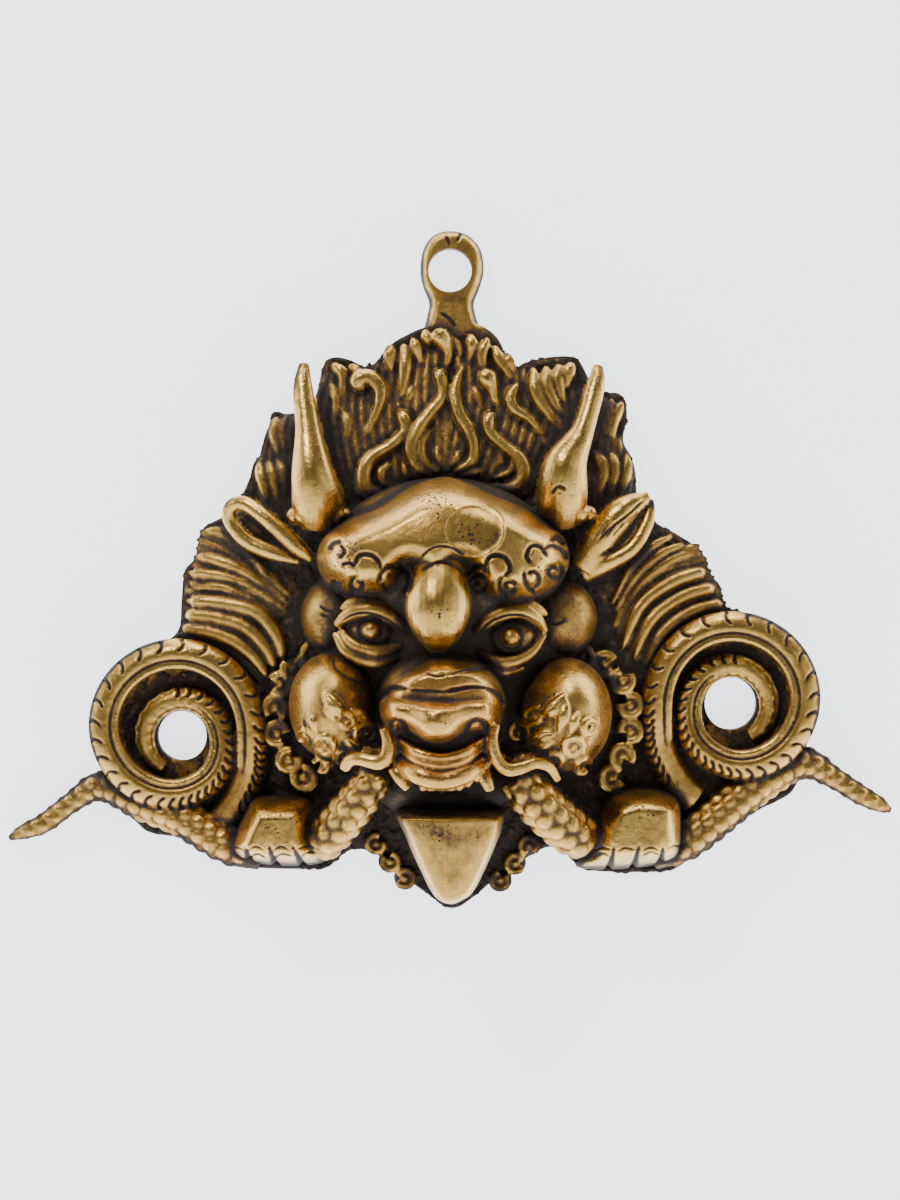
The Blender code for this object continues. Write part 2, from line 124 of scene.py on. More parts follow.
def block(forms, corners):
    """The convex block round a set of corners, each x, z and depth."""
    mesh = bmesh.new()
    verts = [mesh.verts.new((x, -depth, z)) for x, z, depth in corners]
    made = bmesh.ops.convex_hull(mesh, input=verts)
    bmesh.ops.delete(mesh, geom=made["geom_interior"], context="VERTS")
    add_bmesh(forms, mesh)


def drum(forms, x, z, back, front, radius, segments=64):
    """A round disc parallel to the wall."""
    ring = [(x + radius * math.cos(a), z + radius * math.sin(a))
        for a in np.linspace(0, 2 * math.pi, segments + 1)[:-1]]
    co = [(px, -back, pz) for px, pz in ring] + [(px, -front, pz) for px, pz in ring]
    sides = [[i, (i + 1) % segments, segments + (i + 1) % segments, segments + i]
        for i in range(segments)]
    add_form(forms, co, sides + [list(range(segments))[::-1], list(range(segments, 2 * segments))])


def smooth_path(rows, count, closed=False):
    """Samples of the curve that passes through all the rows."""
    p = np.array(rows, float)
    if closed:
        p = np.vstack([p[-1], p, p[0], p[1]])
    else:
        p = np.vstack([2 * p[0] - p[1], p, 2 * p[-1] - p[-2]])
    t = np.linspace(0, len(p) - 3, count)
    i = np.minimum(t.astype(int), len(p) - 4)
    f = (t - i)[:, None]
    a, b, c, d = p[i], p[i + 1], p[i + 2], p[i + 3]
    return 0.5 * (2 * b + (c - a) * f + (2 * a - 5 * b + 4 * c - d) * f**2
        + (3 * b - a - 3 * c + d) * f**3)


def even(values, count):
    """Values spread smoothly over a count of steps."""
    rows = np.atleast_1d(np.array(values, float))
    return np.full(count, rows[0]) if len(rows) == 1 else smooth_path(rows[:, None], count)[:, 0]


def trace(strands, pixels, depth, thick, spread=(1, 1), count=24):
    """A round strand through pixels of the photograph; depth and spread are given at even steps
    along it."""
    path = smooth_path(pixels, count)
    depths, widths = even(depth, count), thick * even(spread, count)
    strands.append(np.array([(*at(px, py, d), width) for (px, py), d,
        width in zip(path, depths, widths)]))


def group(name, inputs):
    """A geometry tree with a geometry in and out and named inputs of its own."""
    tree = bpy.data.node_groups.new(name, "GeometryNodeTree")
    tree.interface.new_socket(name="Geometry", in_out="INPUT", socket_type="NodeSocketGeometry")
    for label, kind, value in inputs:
        socket = tree.interface.new_socket(name=label, in_out="INPUT", socket_type=kind)
        if value is not None:
            socket.default_value = value
    tree.interface.new_socket(name="Geometry", in_out="OUTPUT", socket_type="NodeSocketGeometry")
    return tree, tree.nodes.new("NodeGroupInput"), tree.nodes.new("NodeGroupOutput")


def wire(tree, *rows):
    """Links a tree's nodes, each row being a node, its output, a node and its input."""
    for source, output, target, socket in rows:
        tree.links.new(source.outputs[output], target.inputs[socket])


def grow(tree, source, settings):
    """The mesh that a tree makes from a source mesh or curve, with its inputs set by identifier."""
    host = placed(tree.name, source)
    modifier = host.modifiers.new("Grow", "NODES")
    modifier.node_group = tree
    for item in tree.interface.items_tree:
        if item.item_type == "SOCKET" and item.in_out == "INPUT" and item.name in settings:
            modifier[item.identifier] = settings[item.name]
    grown = bpy.data.meshes.new_from_object(host.evaluated_get(bpy.context.evaluated_depsgraph_get()))
    host.modifiers.remove(modifier)
    bpy.data.objects.remove(host)
    return grown


brass = bpy.data.materials.new("patinated_brass")
strand_tree, strand_in, strand_out = group("strands_along_paths",
    [("Sides", "NodeSocketInt", 12), ("Material", "NodeSocketMaterial", None)])
profile = strand_tree.nodes.new("GeometryNodeCurvePrimitiveCircle")
profile.inputs["Radius"].default_value = 1
girth = strand_tree.nodes.new("GeometryNodeInputNamedAttribute")
girth.data_type = "FLOAT"
girth.inputs["Name"].default_value = "radius"
sweep = strand_tree.nodes.new("GeometryNodeCurveToMesh")
sweep.inputs["Fill Caps"].default_value = True
realize = strand_tree.nodes.new("GeometryNodeRealizeInstances")
cover = strand_tree.nodes.new("GeometryNodeSetMaterial")
wire(strand_tree, (strand_in, "Sides", profile, "Resolution"), (strand_in, "Geometry", sweep, "Curve"),
    (profile, "Curve", sweep, "Profile Curve"), (girth, "Attribute", sweep, "Scale"),
    (sweep, "Mesh", realize, "Geometry"), (realize, "Geometry", cover, "Geometry"),
    (strand_in, "Material", cover, "Material"), (cover, "Geometry", strand_out, "Geometry"))


def add_strands(forms, strands):
    """Sweeps the kept strands with the strand tree and gathers them."""
    curve = bpy.data.curves.new("paths", "CURVE")
    curve.dimensions = "3D"
    for path in strands:
        spline = curve.splines.new("POLY")
        spline.points.add(len(path) - 1)
        for point, (x, z, depth, radius) in zip(spline.points, path):
            point.co = (x, -depth, z, 1)
            point.radius = max(radius, 0.25)
    swept = grow(strand_tree, curve, {"Sides": STRAND_SIDES, "Material": brass})
    bpy.data.curves.remove(curve)
    mesh = bmesh.new()
    mesh.from_mesh(swept)
    bmesh.ops.remove_doubles(mesh, verts=mesh.verts, dist=1e-4)
    add_bmesh(forms, mesh)
    bpy.data.meshes.remove(swept)


def evaluated(target):
    """Bakes an object's modifiers into its mesh."""
    mesh = bpy.data.meshes.new_from_object(target.evaluated_get(bpy.context.evaluated_depsgraph_get()))
    target.modifiers.clear()
    before = target.data
    target.data = mesh
    bpy.data.meshes.remove(before)
    mesh.name = target.name
    return target


CELL = 0.5  # millimetres, the step of the height map that tells high places from low ones
MAP_X, MAP_Z = -140.0, -205.0  # the map's corner
MAP_CELLS = (560, 460)
NOTHING = -2.0  # the height where the map holds no metal
heights = np.full(MAP_CELLS, NOTHING)


def fused(name, forms, grain=0, soften=2):
    """One closed skin round all the forms, in metres, linked under a name; with no grain, the forms
    as they are."""
    mesh = bpy.data.meshes.new(name)
    mesh.from_pydata(forms["points"], [], forms["faces"])
    mesh.transform(Matrix.Scale(0.001, 4))
    target = placed(name, mesh)
    if grain:
        fuse = target.modifiers.new("Fuse", "REMESH")
        fuse.mode = "VOXEL"
        fuse.voxel_size = grain / 1000
        settle = target.modifiers.new("Soften", "SMOOTH")
        settle.factor = 0.5
        settle.iterations = soften
        evaluated(target)
    return target


def pixels_of(co):
    """Where points given in metres lie in the photograph."""
    scale = VIEW_WIDTH / PICTURE_WIDTH * (1 + co[:, 1] / VIEW_RANGE)
    return np.column_stack([PICTURE_WIDTH / 2 + co[:, 0] / scale,
        PICTURE_HEIGHT / 2 - (co[:, 2] - VIEW_HEIGHT) / scale])


def nearness(spots, line, width):
    """1 on a line of pixels, falling to 0 beside it and fading towards its ends."""
    path = smooth_path(line, 6 * len(line))
    near = np.zeros(len(spots))
    inside = np.flatnonzero(((spots > path.min(axis=0) - 3 * width) & (spots < path.max(axis=0)
        + 3 * width)).all(axis=1))
    spots = spots[inside]
    closest = np.full(len(spots), np.inf)
    share = np.zeros(len(spots))
    for step, (a, b) in enumerate(zip(path[:-1], path[1:])):
        t = np.clip((spots - a) @ (b - a) / max((b - a) @ (b - a), 1e-9), 0, 1)
        gap = np.hypot(*(spots - a - t[:, None] * (b - a)).T)
        better = gap < closest
        closest[better] = gap[better]
        share[better] = (step + t[better]) / (len(path) - 1)
    near[inside] = np.exp(-(closest / width) ** 2) * np.minimum(1,
        0.3 + 7 * np.minimum(share, 1 - share))
    return near


def points_of(mesh, what="position"):
    """Where a mesh's vertices lie in metres, or which way they face."""
    if what == "position":
        co = np.empty(3 * len(mesh.vertices))
        mesh.vertices.foreach_get("co", co)
        return co.reshape(-1, 3)
    normals = np.empty(3 * len(mesh.vertices))
    mesh.vertices.foreach_get("normal", normals)
    return normals.reshape(-1, 3)


chased = {}


def moved(skin, co):
    """Puts a skin's vertices at new places."""
    skin.data.vertices.foreach_set("co", co.ravel())
    skin.data.update()


def chase(skin, lines, width=1.6, depth=0.45, turned=-0.15):
    """Punches lines of pixels into the front of a skin; a depth below nothing raises them instead."""
    co, normals = points_of(skin.data), points_of(skin.data, "normal")
    spots = pixels_of(co)
    push = np.zeros(len(co))
    for line in lines:
        push = np.maximum(push, nearness(spots, line, width))
    push[normals[:, 1] > turned] = 0
    co -= normals * (push * depth / 1000)[:, None]
    moved(skin, co)
    if depth > 0:
        chased.setdefault(skin.name, []).extend((line, width) for line in lines)


def finished(skin, triangles, cuts=()):
    """Notes how high a skin stands, thins it out, keeps its outer skin and cuts it flat and hollow
    at the back."""
    co = points_of(skin.data) * 1000
    column = ((co[:, 0] - MAP_X) / CELL).astype(int)
    row = ((co[:, 2] - MAP_Z) / CELL).astype(int)
    np.maximum.at(heights, (column, row), -co[:, 1])
    cut = bmesh.new()
    cut.from_mesh(skin.data)
    loose = set(cut.verts)
    pockets = []
    while loose:
        reached = [loose.pop()]
        for vertex in reached:
            fresh = [other for other in (edge.other_vert(vertex) for edge in vertex.link_edges)
                if other in loose]
            loose.difference_update(fresh)
            reached.extend(fresh)
        sheets = {face for vertex in reached for face in vertex.link_faces}
        volume = sum(face.calc_area() * (face.normal.dot(face.verts[0].co)) for face in sheets)
        if volume <= 1e-9:
            pockets.extend(reached)
    bmesh.ops.delete(cut, geom=pockets, context="VERTS")
    cut.to_mesh(skin.data)
    cut.free()
    thin = skin.modifiers.new("Thin", "DECIMATE")
    thin.ratio = min(1, triangles / (2 * len(skin.data.polygons)))
    evaluated(skin)
    for cutter in cuts:
        carve = skin.modifiers.new("Carve", "BOOLEAN")
        carve.operation = "DIFFERENCE"
        carve.solver = "MANIFOLD"
        carve.object = cutter
    return evaluated(skin)


def rise(x, z):
    """How far the mane swells over its rim at a point."""
    return 9 * np.maximum(0.0, 1 - (x / 78) ** 2 - ((z + 104) / 80) ** 2)


def lock(strands, pixels, thick, lift=1.4, count=22, spread=(0.45, 1, 0.8, 0.3)):
    """A lock through pixels of the photograph; spread is its thickness from the first pixel to the
    last."""
    path = smooth_path(pixels, count)
    run = np.linspace(0, 1, count)
    share = even(spread, count) * np.sqrt(1 - (1 - np.clip(np.minimum(run, 1 - run) / 0.1, 0.02,
        1)) ** 2)
    rows = []
    for (px, py), part in zip(path, share):
        x, z, _ = at(px, py, 13)
        depth = RIM + rise(x, z)
        rows.append((x, z, depth + lift * (0.5 + 0.5 * part), thick * part))
    strands.append(np.array(rows))


def fan(strands, first, last, count, thick, lift=1.4, spread=(0.45, 1, 0.8, 0.3)):
    """Locks spread evenly from a first to a last, which have as many pixels each."""
    for share in np.linspace(0, 1, count):
        lock(strands, (1 - share) * np.array(first, float) + share * np.array(last, float), thick, lift,
            22, spread)


def filled(outline, half, middle, grain):
    """Points and faces of an even skin round a sheet inside an outline, half as thick on each side
    of a depth."""
    curve = bpy.data.curves.new("outline", "CURVE")
    curve.dimensions = "2D"
    curve.fill_mode = "BOTH"
    curve.extrude = half
    spline = curve.splines.new("POLY")
    spline.points.add(len(outline) - 1)
    for point, (x, z) in zip(spline.points, outline):
        point.co = (x, z, 0, 1)
    spline.use_cyclic_u = True
    host = placed("outline", curve)
    flat = bpy.data.meshes.new_from_object(host)
    bpy.data.objects.remove(host)
    flat.transform(Matrix.Translation((0, -middle, 0)) @ Matrix.Rotation(math.pi / 2, 4, "X"))
    weld = bmesh.new()
    weld.from_mesh(flat)
    bmesh.ops.remove_doubles(weld, verts=weld.verts, dist=1e-4)
    weld.to_mesh(flat)
    weld.free()
    host = placed("outline", flat)
    spread = host.modifiers.new("Spread", "REMESH")
    spread.mode = "VOXEL"
    spread.voxel_size = grain
    skin = evaluated(host).data
    co, faces = points_of(skin), [list(polygon.vertices) for polygon in skin.polygons]
    bpy.data.objects.remove(host)
    return co, faces


rim_pixels = [(440, 326), (425, 327), (410, 333), (391, 344), (377, 361), (366, 367), (351, 360),
    (337, 357), (326, 360), (321, 374), (312, 403), (289, 414), (277, 411), (270, 418), (267, 447),
    (254, 462), (248, 483), (230, 512), (202, 529), (195, 558), (184, 571), (181, 605), (176, 634),
    (140, 655), (108, 690), (98, 740), (108, 788), (118, 807), (134, 820), (150, 833), (184, 838),
    (201, 847), (228, 857), (245, 867), (320, 869), (336, 860), (350, 850), (362, 849), (378, 855),
    (400, 874), (430, 896), (452, 909), (475, 896), (500, 875), (528, 857), (547, 847), (562, 850),
    (574, 862), (592, 871), (668, 871), (691, 855), (713, 841), (727, 830), (740, 819), (758, 810),
    (776, 802), (795, 788), (806, 750), (812, 705), (802, 665), (772, 630), (740, 611), (724, 606),
    (721, 586), (708, 573), (707, 561), (698, 548), (675, 533), (654, 521), (637, 494), (636, 476),
    (631, 456), (623, 441), (627, 418), (626, 403), (619, 393), (606, 392), (592, 383), (581, 363),
    (575, 357), (557, 356), (529, 361), (514, 368), (507, 357), (497, 337), (480, 325), (464, 325)]
rim_co, rim_faces = filled([at(px, py, 6)[:2] for px, py in smooth_path(rim_pixels, 340)], RIM / 2,
    RIM / 2, 0.9)
front = rim_co[:, 1] < -RIM / 2
rim_co[front, 1] -= rise(rim_co[front, 0], rim_co[front, 2])
rim_co[~front, 1] += 2
mane_forms = new_forms()
add_form(mane_forms, rim_co, rim_faces)

locks = []
drop = (1, 0.9, 0.5, 0.25)
tip = (0.3, 0.9, 1, 0.75, 0.5)
curl = (1, 0.75, 0.85, 1, 0.85, 0.5)
# The crown: a drop under the ring, ridges at both sides of it, and S-shaped locks that rise from
# the forehead. Each lock: its pixels, thickness, lift, number of points and spread.
crown_locks = [
    ([(437, 332), (443, 340), (448, 352), (447, 365)], 2.9, 2.4, 22, drop),
    ([(452, 336), (459, 346), (460, 358)], 1.1),
    ([(437, 368), (442, 383), (441, 398), (431, 411), (419, 427), (411, 447), (416, 465), (433, 478)],
     2.2, 2.2, 34, curl),
    ([(464, 364), (457, 380), (455, 396), (460, 415), (470, 432), (474, 450), (469, 463), (453, 473)],
     2.0, 2.2, 34, tip),
    ([(433, 428), (422, 440), (421, 455), (428, 466), (440, 473)], 1.7, 2, 26, tip),
    ([(400, 410), (406, 428), (391, 445), (370, 459), (364, 475), (369, 489), (387, 496)], 2.3, 2.2, 34,
     curl),
    ([(356, 474), (359, 488), (371, 499), (384, 503)], 1.2),
    ([(391, 463), (381, 472), (384, 483), (396, 488)], 1.5),
    ([(490, 411), (489, 430), (504, 446), (519, 459), (523, 477), (509, 489), (487, 485)], 2.3, 2.2, 34,
     curl),
    ([(494, 430), (508, 447), (514, 461), (509, 472), (493, 479)], 1.5, 1.8),
    ([(532, 466), (531, 481), (519, 494), (502, 496)], 1.2),
    ([(497, 447), (501, 459), (495, 468)], 1.0),
    ([(485, 374), (491, 386), (497, 404)], 3.0, 2.6, 22, drop),
    ([(518, 383), (511, 396), (515, 409), (530, 419), (544, 437)], 1.8, 2, 26, (0.6, 1, 1, 0.8, 0.3)),
    ([(508, 384), (505, 396), (510, 408), (520, 420)], 0.9),
    ([(362, 391), (358, 380), (369, 377), (380, 388), (379, 405), (372, 421), (363, 438)], 2.1, 2.4, 30,
     (0.8, 1.25, 1.15, 1, 0.7, 0.5, 0.2)),
    ([(378, 378), (388, 390), (388, 404)], 0.9)]
for row in crown_locks:
    lock(locks, *row)
# Each fan: the first and the last lock, how many there are, their thickness, lift and spread.
crown_fans = [
    ([(404, 342), (405, 368), (401, 398)], [(390, 344), (390, 357), (391, 371)], 2, 2.1, 1.8),
    ([(425, 329), (427, 337), (429, 345)], [(412, 337), (417, 349), (421, 362)], 2, 1.7, 1.8),
    ([(470, 333), (472, 346), (469, 360)], [(488, 337), (482, 354), (485, 374)], 2, 1.8, 1.8),
    ([(494, 344), (500, 360), (512, 378)], [(505, 352), (510, 362), (514, 371)], 2, 1.6, 1.8),
    ([(436, 447), (438, 457), (443, 468)], [(459, 450), (456, 460), (450, 468)], 2, 0.9),
    ([(481, 452), (472, 464), (457, 471)], [(481, 470), (470, 474), (457, 476)], 2, 1.1),
    ([(403, 462), (405, 472), (411, 479)], [(412, 468), (416, 475), (422, 481)], 2, 0.9),
    ([(412, 384), (409, 395), (404, 405)], [(475, 384), (478, 398), (484, 412)], 2, 0.9),
    ([(440, 400), (436, 418), (444, 440)], [(452, 400), (452, 418), (448, 440)], 2, 0.8),
    ([(533, 366), (538, 396), (560, 429)], [(573, 362), (568, 374), (566, 388)], 4, 2.1, 1.9),
    ([(332, 363), (343, 374), (341, 398)], [(349, 364), (356, 370), (358, 376)], 2, 1.6, 1.8),
    ([(330, 380), (336, 400), (334, 424)], [(343, 410), (348, 424), (345, 446)], 2, 1.1),
    ([(548, 400), (560, 430), (552, 452)], [(541, 436), (549, 452), (543, 470)], 2, 1.0)]
for row in crown_fans:
    fan(locks, *row)
# The side lobes behind the horns and the bands that sweep out to the coils.
side_fans = [
    ([(276, 416), (274, 432), (279, 456)], [(300, 412), (291, 432), (292, 452)], 3, 1.9),
    ([(257, 463), (263, 482), (268, 508)], [(278, 458), (284, 476), (286, 500)], 3, 1.9),
    ([(623, 401), (615, 418), (612, 440)], [(603, 394), (603, 415), (606, 436)], 3, 1.8),
    ([(628, 454), (626, 474), (618, 500)], [(594, 450), (604, 470), (598, 498)], 3, 1.8),
    ([(205, 530), (226, 534), (252, 556), (272, 584)], [(196, 556), (216, 560), (246, 572), (272, 592)],
     2, 1.8),
    ([(187, 573), (212, 574), (243, 582), (268, 598)], [(193, 588), (219, 587), (248, 598), (280, 618)],
     2, 1.5),
    ([(187, 601), (220, 603), (256, 612), (277, 636), (284, 662)],
     [(181, 629), (206, 631), (232, 640), (253, 656), (268, 678)], 3, 2.3, 1.8, (0.85, 1, 1, 0.9, 0.5)),
    ([(232, 600), (255, 606), (278, 624)], [(240, 590), (262, 594), (283, 608)], 2, 0.9),
    ([(672, 536), (650, 548), (628, 572), (612, 604)], [(697, 551), (668, 562), (640, 584), (620, 616)],
     3, 1.4),
    ([(706, 571), (672, 582), (640, 606), (622, 650)], [(724, 604), (692, 612), (662, 634), (646, 668)],
     3, 2.1, 1.8, (0.85, 1, 1, 0.9, 0.4)),
    ([(700, 562), (664, 570), (634, 596), (617, 634)], [(716, 590), (682, 598), (652, 622), (634, 660)],
     2, 0.9)]
for row in side_fans:
    fan(locks, *row)
# Finer hair combed between the locks, so that the ground is ribbed all over.
even_hair = (0.8, 1, 1, 0.8)
fine_hair = [
    ([(327, 372), (316, 412), (322, 460), (338, 508)], [(446, 338), (444, 390), (447, 436), (443, 474)],
     15, 1.35, 0.2, even_hair),
    ([(457, 338), (461, 390), (457, 436), (447, 474)], [(590, 392), (594, 430), (578, 470), (562, 498)],
     15, 1.35, 0.2, even_hair),
    ([(270, 424), (262, 462), (262, 490), (272, 524)], [(306, 410), (300, 450), (296, 480), (298, 520)],
     6, 1.3, 0.2, even_hair),
    ([(600, 398), (602, 440), (598, 480), (590, 516)], [(632, 460), (630, 480), (624, 496), (610, 520)],
     6, 1.3, 0.2, even_hair),
    ([(197, 530), (228, 543), (258, 566), (290, 596)], [(177, 634), (212, 642), (238, 656), (262, 684)],
     13, 1.5, 0.2, even_hair),
    ([(702, 544), (668, 560), (636, 590), (612, 630)], [(732, 608), (696, 622), (668, 642), (648, 676)],
     11, 1.5, 0.2, even_hair)]
for row in fine_hair:
    fan(locks, *row)
add_strands(mane_forms, locks)


def puff(forms, pixels, depth, back, top, edge, grain=0.8):
    """A swollen form inside pixels that lie at a depth: flat behind, and as high as top says, with a
    round edge."""
    outline = np.array([at(px, py, depth)[:2] for px, py in smooth_path(pixels, 5 * len(pixels) + 1,
        True)[:-1]])
    co, faces = filled(outline, 1, 0, grain)
    front = co[:, 1] < -0.3
    gap = np.full(front.sum(), np.inf)
    spots = co[front][:, [0, 2]]
    for a, b in zip(outline, np.roll(outline, -1, axis=0)):
        t = np.clip((spots - a) @ (b - a) / max((b - a) @ (b - a), 1e-9), 0, 1)
        gap = np.minimum(gap, np.hypot(*(spots - a - t[:, None] * (b - a)).T))
    swell = np.sqrt(1 - (1 - np.clip(gap / edge, 0, 1)) ** 2)
    co[~front, 1] += 1 - back
    co[front, 1] = -(back + (top(spots[:, 0], spots[:, 1]) - back) * swell)
    add_form(forms, co, faces)


# The ring: an egg-shaped eye, thick at its crown, on a neck that spreads into the mane.
ring_bore = 13.0
ring_outline = [(452, 230), (434, 234), (423, 249), (420, 270), (423, 287), (429, 302), (427, 316),
    (425, 330), (438, 342), (465, 342), (479, 330), (476, 316), (474, 303), (480, 287), (484, 270),
    (481, 249), (469, 235)]
puff(mane_forms, ring_outline, 3, -1, lambda x, z: 5.4 + 0.17 * np.maximum(0, -z - 9), 2.6, 0.6)
mane = fused("mane", mane_forms, MANE_GRAIN, 2)

# Back: the wax was scooped out behind the face so that the metal is about as thick everywhere, and
# the back was ground flat where it meets the wall. The same cuts open the ring, the two coils and
# the mouth.
WALL = 4.5  # thickness of the metal over the hollow
CUT_SOFTENING = 5
LEFT_HOLE = (-80, -139, 14.8)  # x, z and bore of the hole in each coil
RIGHT_HOLE = (83.8, -129.4, 15.6)
hollow_forms = new_forms()
# Middle, radii and squareness of the rounds behind the forehead, the face, the muzzle and the cheeks.
scooped = ((-2, -89, 12, 36, 27.5, 32, 1), (-2, -108, 4, 43, 38, 32, 1),
    (-2.5, -128, 22, 19.5, 15, 37, 0.85), (-34.5, -129.5, 22, 13.2, 16, 24, 1),
    (34, -132, 22, 14, 17, 24, 1))
for x, z, depth, rx, rz, rd, square in scooped:
    ball(hollow_forms, x, z, depth, rx - WALL, rz - WALL, rd - WALL, 0, square)
ball(hollow_forms, -1, -104, 0, 66, 62, 5.5)
ball(hollow_forms, -1, -159, 0, 15, 17, 24)
mouth_forms = new_forms()
ball(mouth_forms, -0.9, -157.2, 48.5, 16.2, 3.9, 15.5, 0, 0.6)
walls = []
for plane in (0, 0.5):
    wall_forms = new_forms()
    block(wall_forms, [(x, z, depth) for x in (-160, 160) for z in (-260, 60)
        for depth in (-60, plane)])
    walls.append(wall_forms)


hollow = fused("hollow", hollow_forms, 1.4, CUT_SOFTENING)
slab, shallow_slab = fused("slab", walls[0]), fused("shallow_slab", walls[1])
mouth = fused("mouth", mouth_forms, 0.6, CUT_SOFTENING)
bores = {}
for name, (x, z, bore) in (("ring", (0, 0, ring_bore)), ("left", LEFT_HOLE), ("right", RIGHT_HOLE)):
    bore_forms = new_forms()
    drum(bore_forms, x, z, -20, 40, bore / 2, 96)
    bores[name] = fused("bore_" + name, bore_forms)

# Nicks at the ring's crown, and the dents of the flow of metal on its neck.
ring_nicks = [
    [(446, 236), (450, 245)],
    [(461, 233), (457, 241)],
    [(441, 313), (449, 318), (455, 326)]]
chase(mane, ring_nicks, width=1.5, depth=0.6)
co, normals = points_of(mane.data), points_of(mane.data, "normal")
lumps = np.array([fractal(Vector(spot) * 260, 0.6, 2.0, 3) for spot in co])
ground = RIM + rise(co[:, 0] * 1000, co[:, 2] * 1000) + 1.4 + co[:, 1] * 1000
weight = np.clip(ground / 2, 0, 1) * (normals[:, 1] < -0.3) * (co[:, 2] < -0.024)
moved(mane, co + normals * (weight * np.clip(lumps, -0.6, 0.9) * 0.0009)[:, None])
finished(mane, triangles=185000, cuts=(slab, hollow, bores["ring"], bores["left"], bores["right"]))
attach(mane, "root")
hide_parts("kirtimukha_mask")

# Head: skull, forehead and brows in one swollen shield, with a pear-shaped bridge, temples and
# lidded eyes. The curls on the brows, the mark on the forehead and the arcs over the bridge are
# punched into the metal.
HEAD_GRAIN = 0.36


def shield(x, z):
    """How far the forehead and the brows stand out."""
    return 52 - 0.0065 * (x + 2) ** 2 - 0.012 * np.maximum(0, z + 88) ** 2 - 0.012 * np.maximum(0,
        -92 - z) ** 2


head_forms = new_forms()
head_strands = []
skull = ((-2, -89, 12, 35.5, 27, 31), (-2, -108, 4, 42.5, 38, 31.5))
for rounded in skull:
    ball(head_forms, *rounded)
forehead = [(441, 474), (408, 484), (374, 504), (342, 518), (320, 536), (313, 558), (320, 580),
    (335, 593), (356, 601), (378, 602), (391, 600), (400, 595), (405, 587), (411, 576), (409, 588),
    (406, 599), (402, 611), (401, 624), (406, 638), (420, 649), (438, 655), (457, 650), (470, 638),
    (476, 621), (474, 607), (468, 595), (463, 585), (460, 574), (466, 583), (472, 593), (481, 601),
    (496, 606), (521, 607), (545, 600), (563, 583), (573, 561), (568, 538), (552, 522), (527, 505),
    (492, 490), (464, 478)]
puff(head_forms, forehead, 44, 17, shield, 9.8, 0.6)
temples = ((-33, -103.5, 12, 11.5, 13, 17), (30.5, -104, 12, 13.5, 13, 17))
for rounded in temples:
    ball(head_forms, *rounded)
# Each strand from here on: its pixels, depths, thickness, spread and number of points.
bridge_path = [
    ([(441, 540), (439, 574), (438, 606), (438, 630), (438, 651)], [37, 43, 46.4, 44, 40.5], 8.7,
     (0.8, 0.93, 1.1, 0.86, 0.3), 60)]
for row in bridge_path:
    trace(head_strands, *row)
eyeballs = ((371, 630, 7.2), (511, 637, 7.4))
for px, py, radius in eyeballs:
    x, z, _ = at(px, py, 36)
    ball(head_forms, x, z, 30, radius, 6.2, 6.6)
    ball(head_forms, x, z, 36.2, 2.5, 2.5, 2.3)
# Lids and folds of the left eye, then of the right.
lid_folds = [
    ([(336, 625), (345, 617), (358, 611), (375, 610), (392, 617), (404, 628), (411, 640)],
     [32.5, 35, 36.4, 35, 32], 2.2, (0.5, 1, 1.15, 1, 0.5)),
    ([(340, 609), (350, 604), (367, 602), (388, 606), (402, 615)], [32.5, 34.5, 35.5, 34], 2.2,
     (0.2, 0.9, 0.9, 0.3)),
    ([(341, 628), (349, 640), (362, 648), (380, 651), (398, 646), (411, 638)], [32, 34.5, 35.5, 34, 32],
     1.7, (0.5, 1, 1, 0.5)),
    ([(335, 633), (345, 649), (361, 659), (382, 661), (402, 654)], [31.5, 33.5, 34, 32.5], 2.0,
     (0.5, 1, 1, 0.5)),
    ([(470, 641), (479, 628), (490, 619), (506, 612), (523, 611), (537, 619), (545, 631)],
     [32, 35, 36.4, 36, 32], 2.2, (0.5, 1, 1.1, 1, 0.5)),
    ([(476, 618), (490, 608), (508, 602), (524, 604), (538, 609), (547, 615)],
     [32.5, 34.5, 35.5, 34, 32.5], 2.2, (0.2, 0.9, 0.9, 0.3)),
    ([(471, 643), (481, 654), (496, 661), (515, 661), (532, 652), (545, 634)],
     [32, 34.5, 35.5, 34.5, 32], 1.7, (0.5, 1, 1, 0.5)),
    ([(474, 658), (487, 667), (505, 671), (524, 668)], [32, 33.5, 34, 32], 1.9, (0.5, 1, 0.9, 0.4))]
for row in lid_folds:
    trace(head_strands, *row)
add_strands(head_forms, head_strands)
head = fused("head", head_forms, HEAD_GRAIN, 7)


def spiral(px, py, radius, start, turns, hand=1, close=0.3):
    """Pixels of a curl that winds in from its radius, hand 1 running clockwise as seen."""
    return [(px + radius * (1 - (1 - close) * share) * math.cos(math.radians(start)
        + hand * 2 * math.pi * turns * share), py + radius * (1
        - (1 - close) * share) * math.sin(math.radians(start) + hand * 2 * math.pi * turns * share))
        for share in np.linspace(0, 1, max(5, int(9 * turns)))]


def disc_of(px, py, radius, start=0, sweep=360):
    """Pixels of a circle, or of an arc of it."""
    return spiral(px, py, radius, start, sweep / 360, 1, 1)


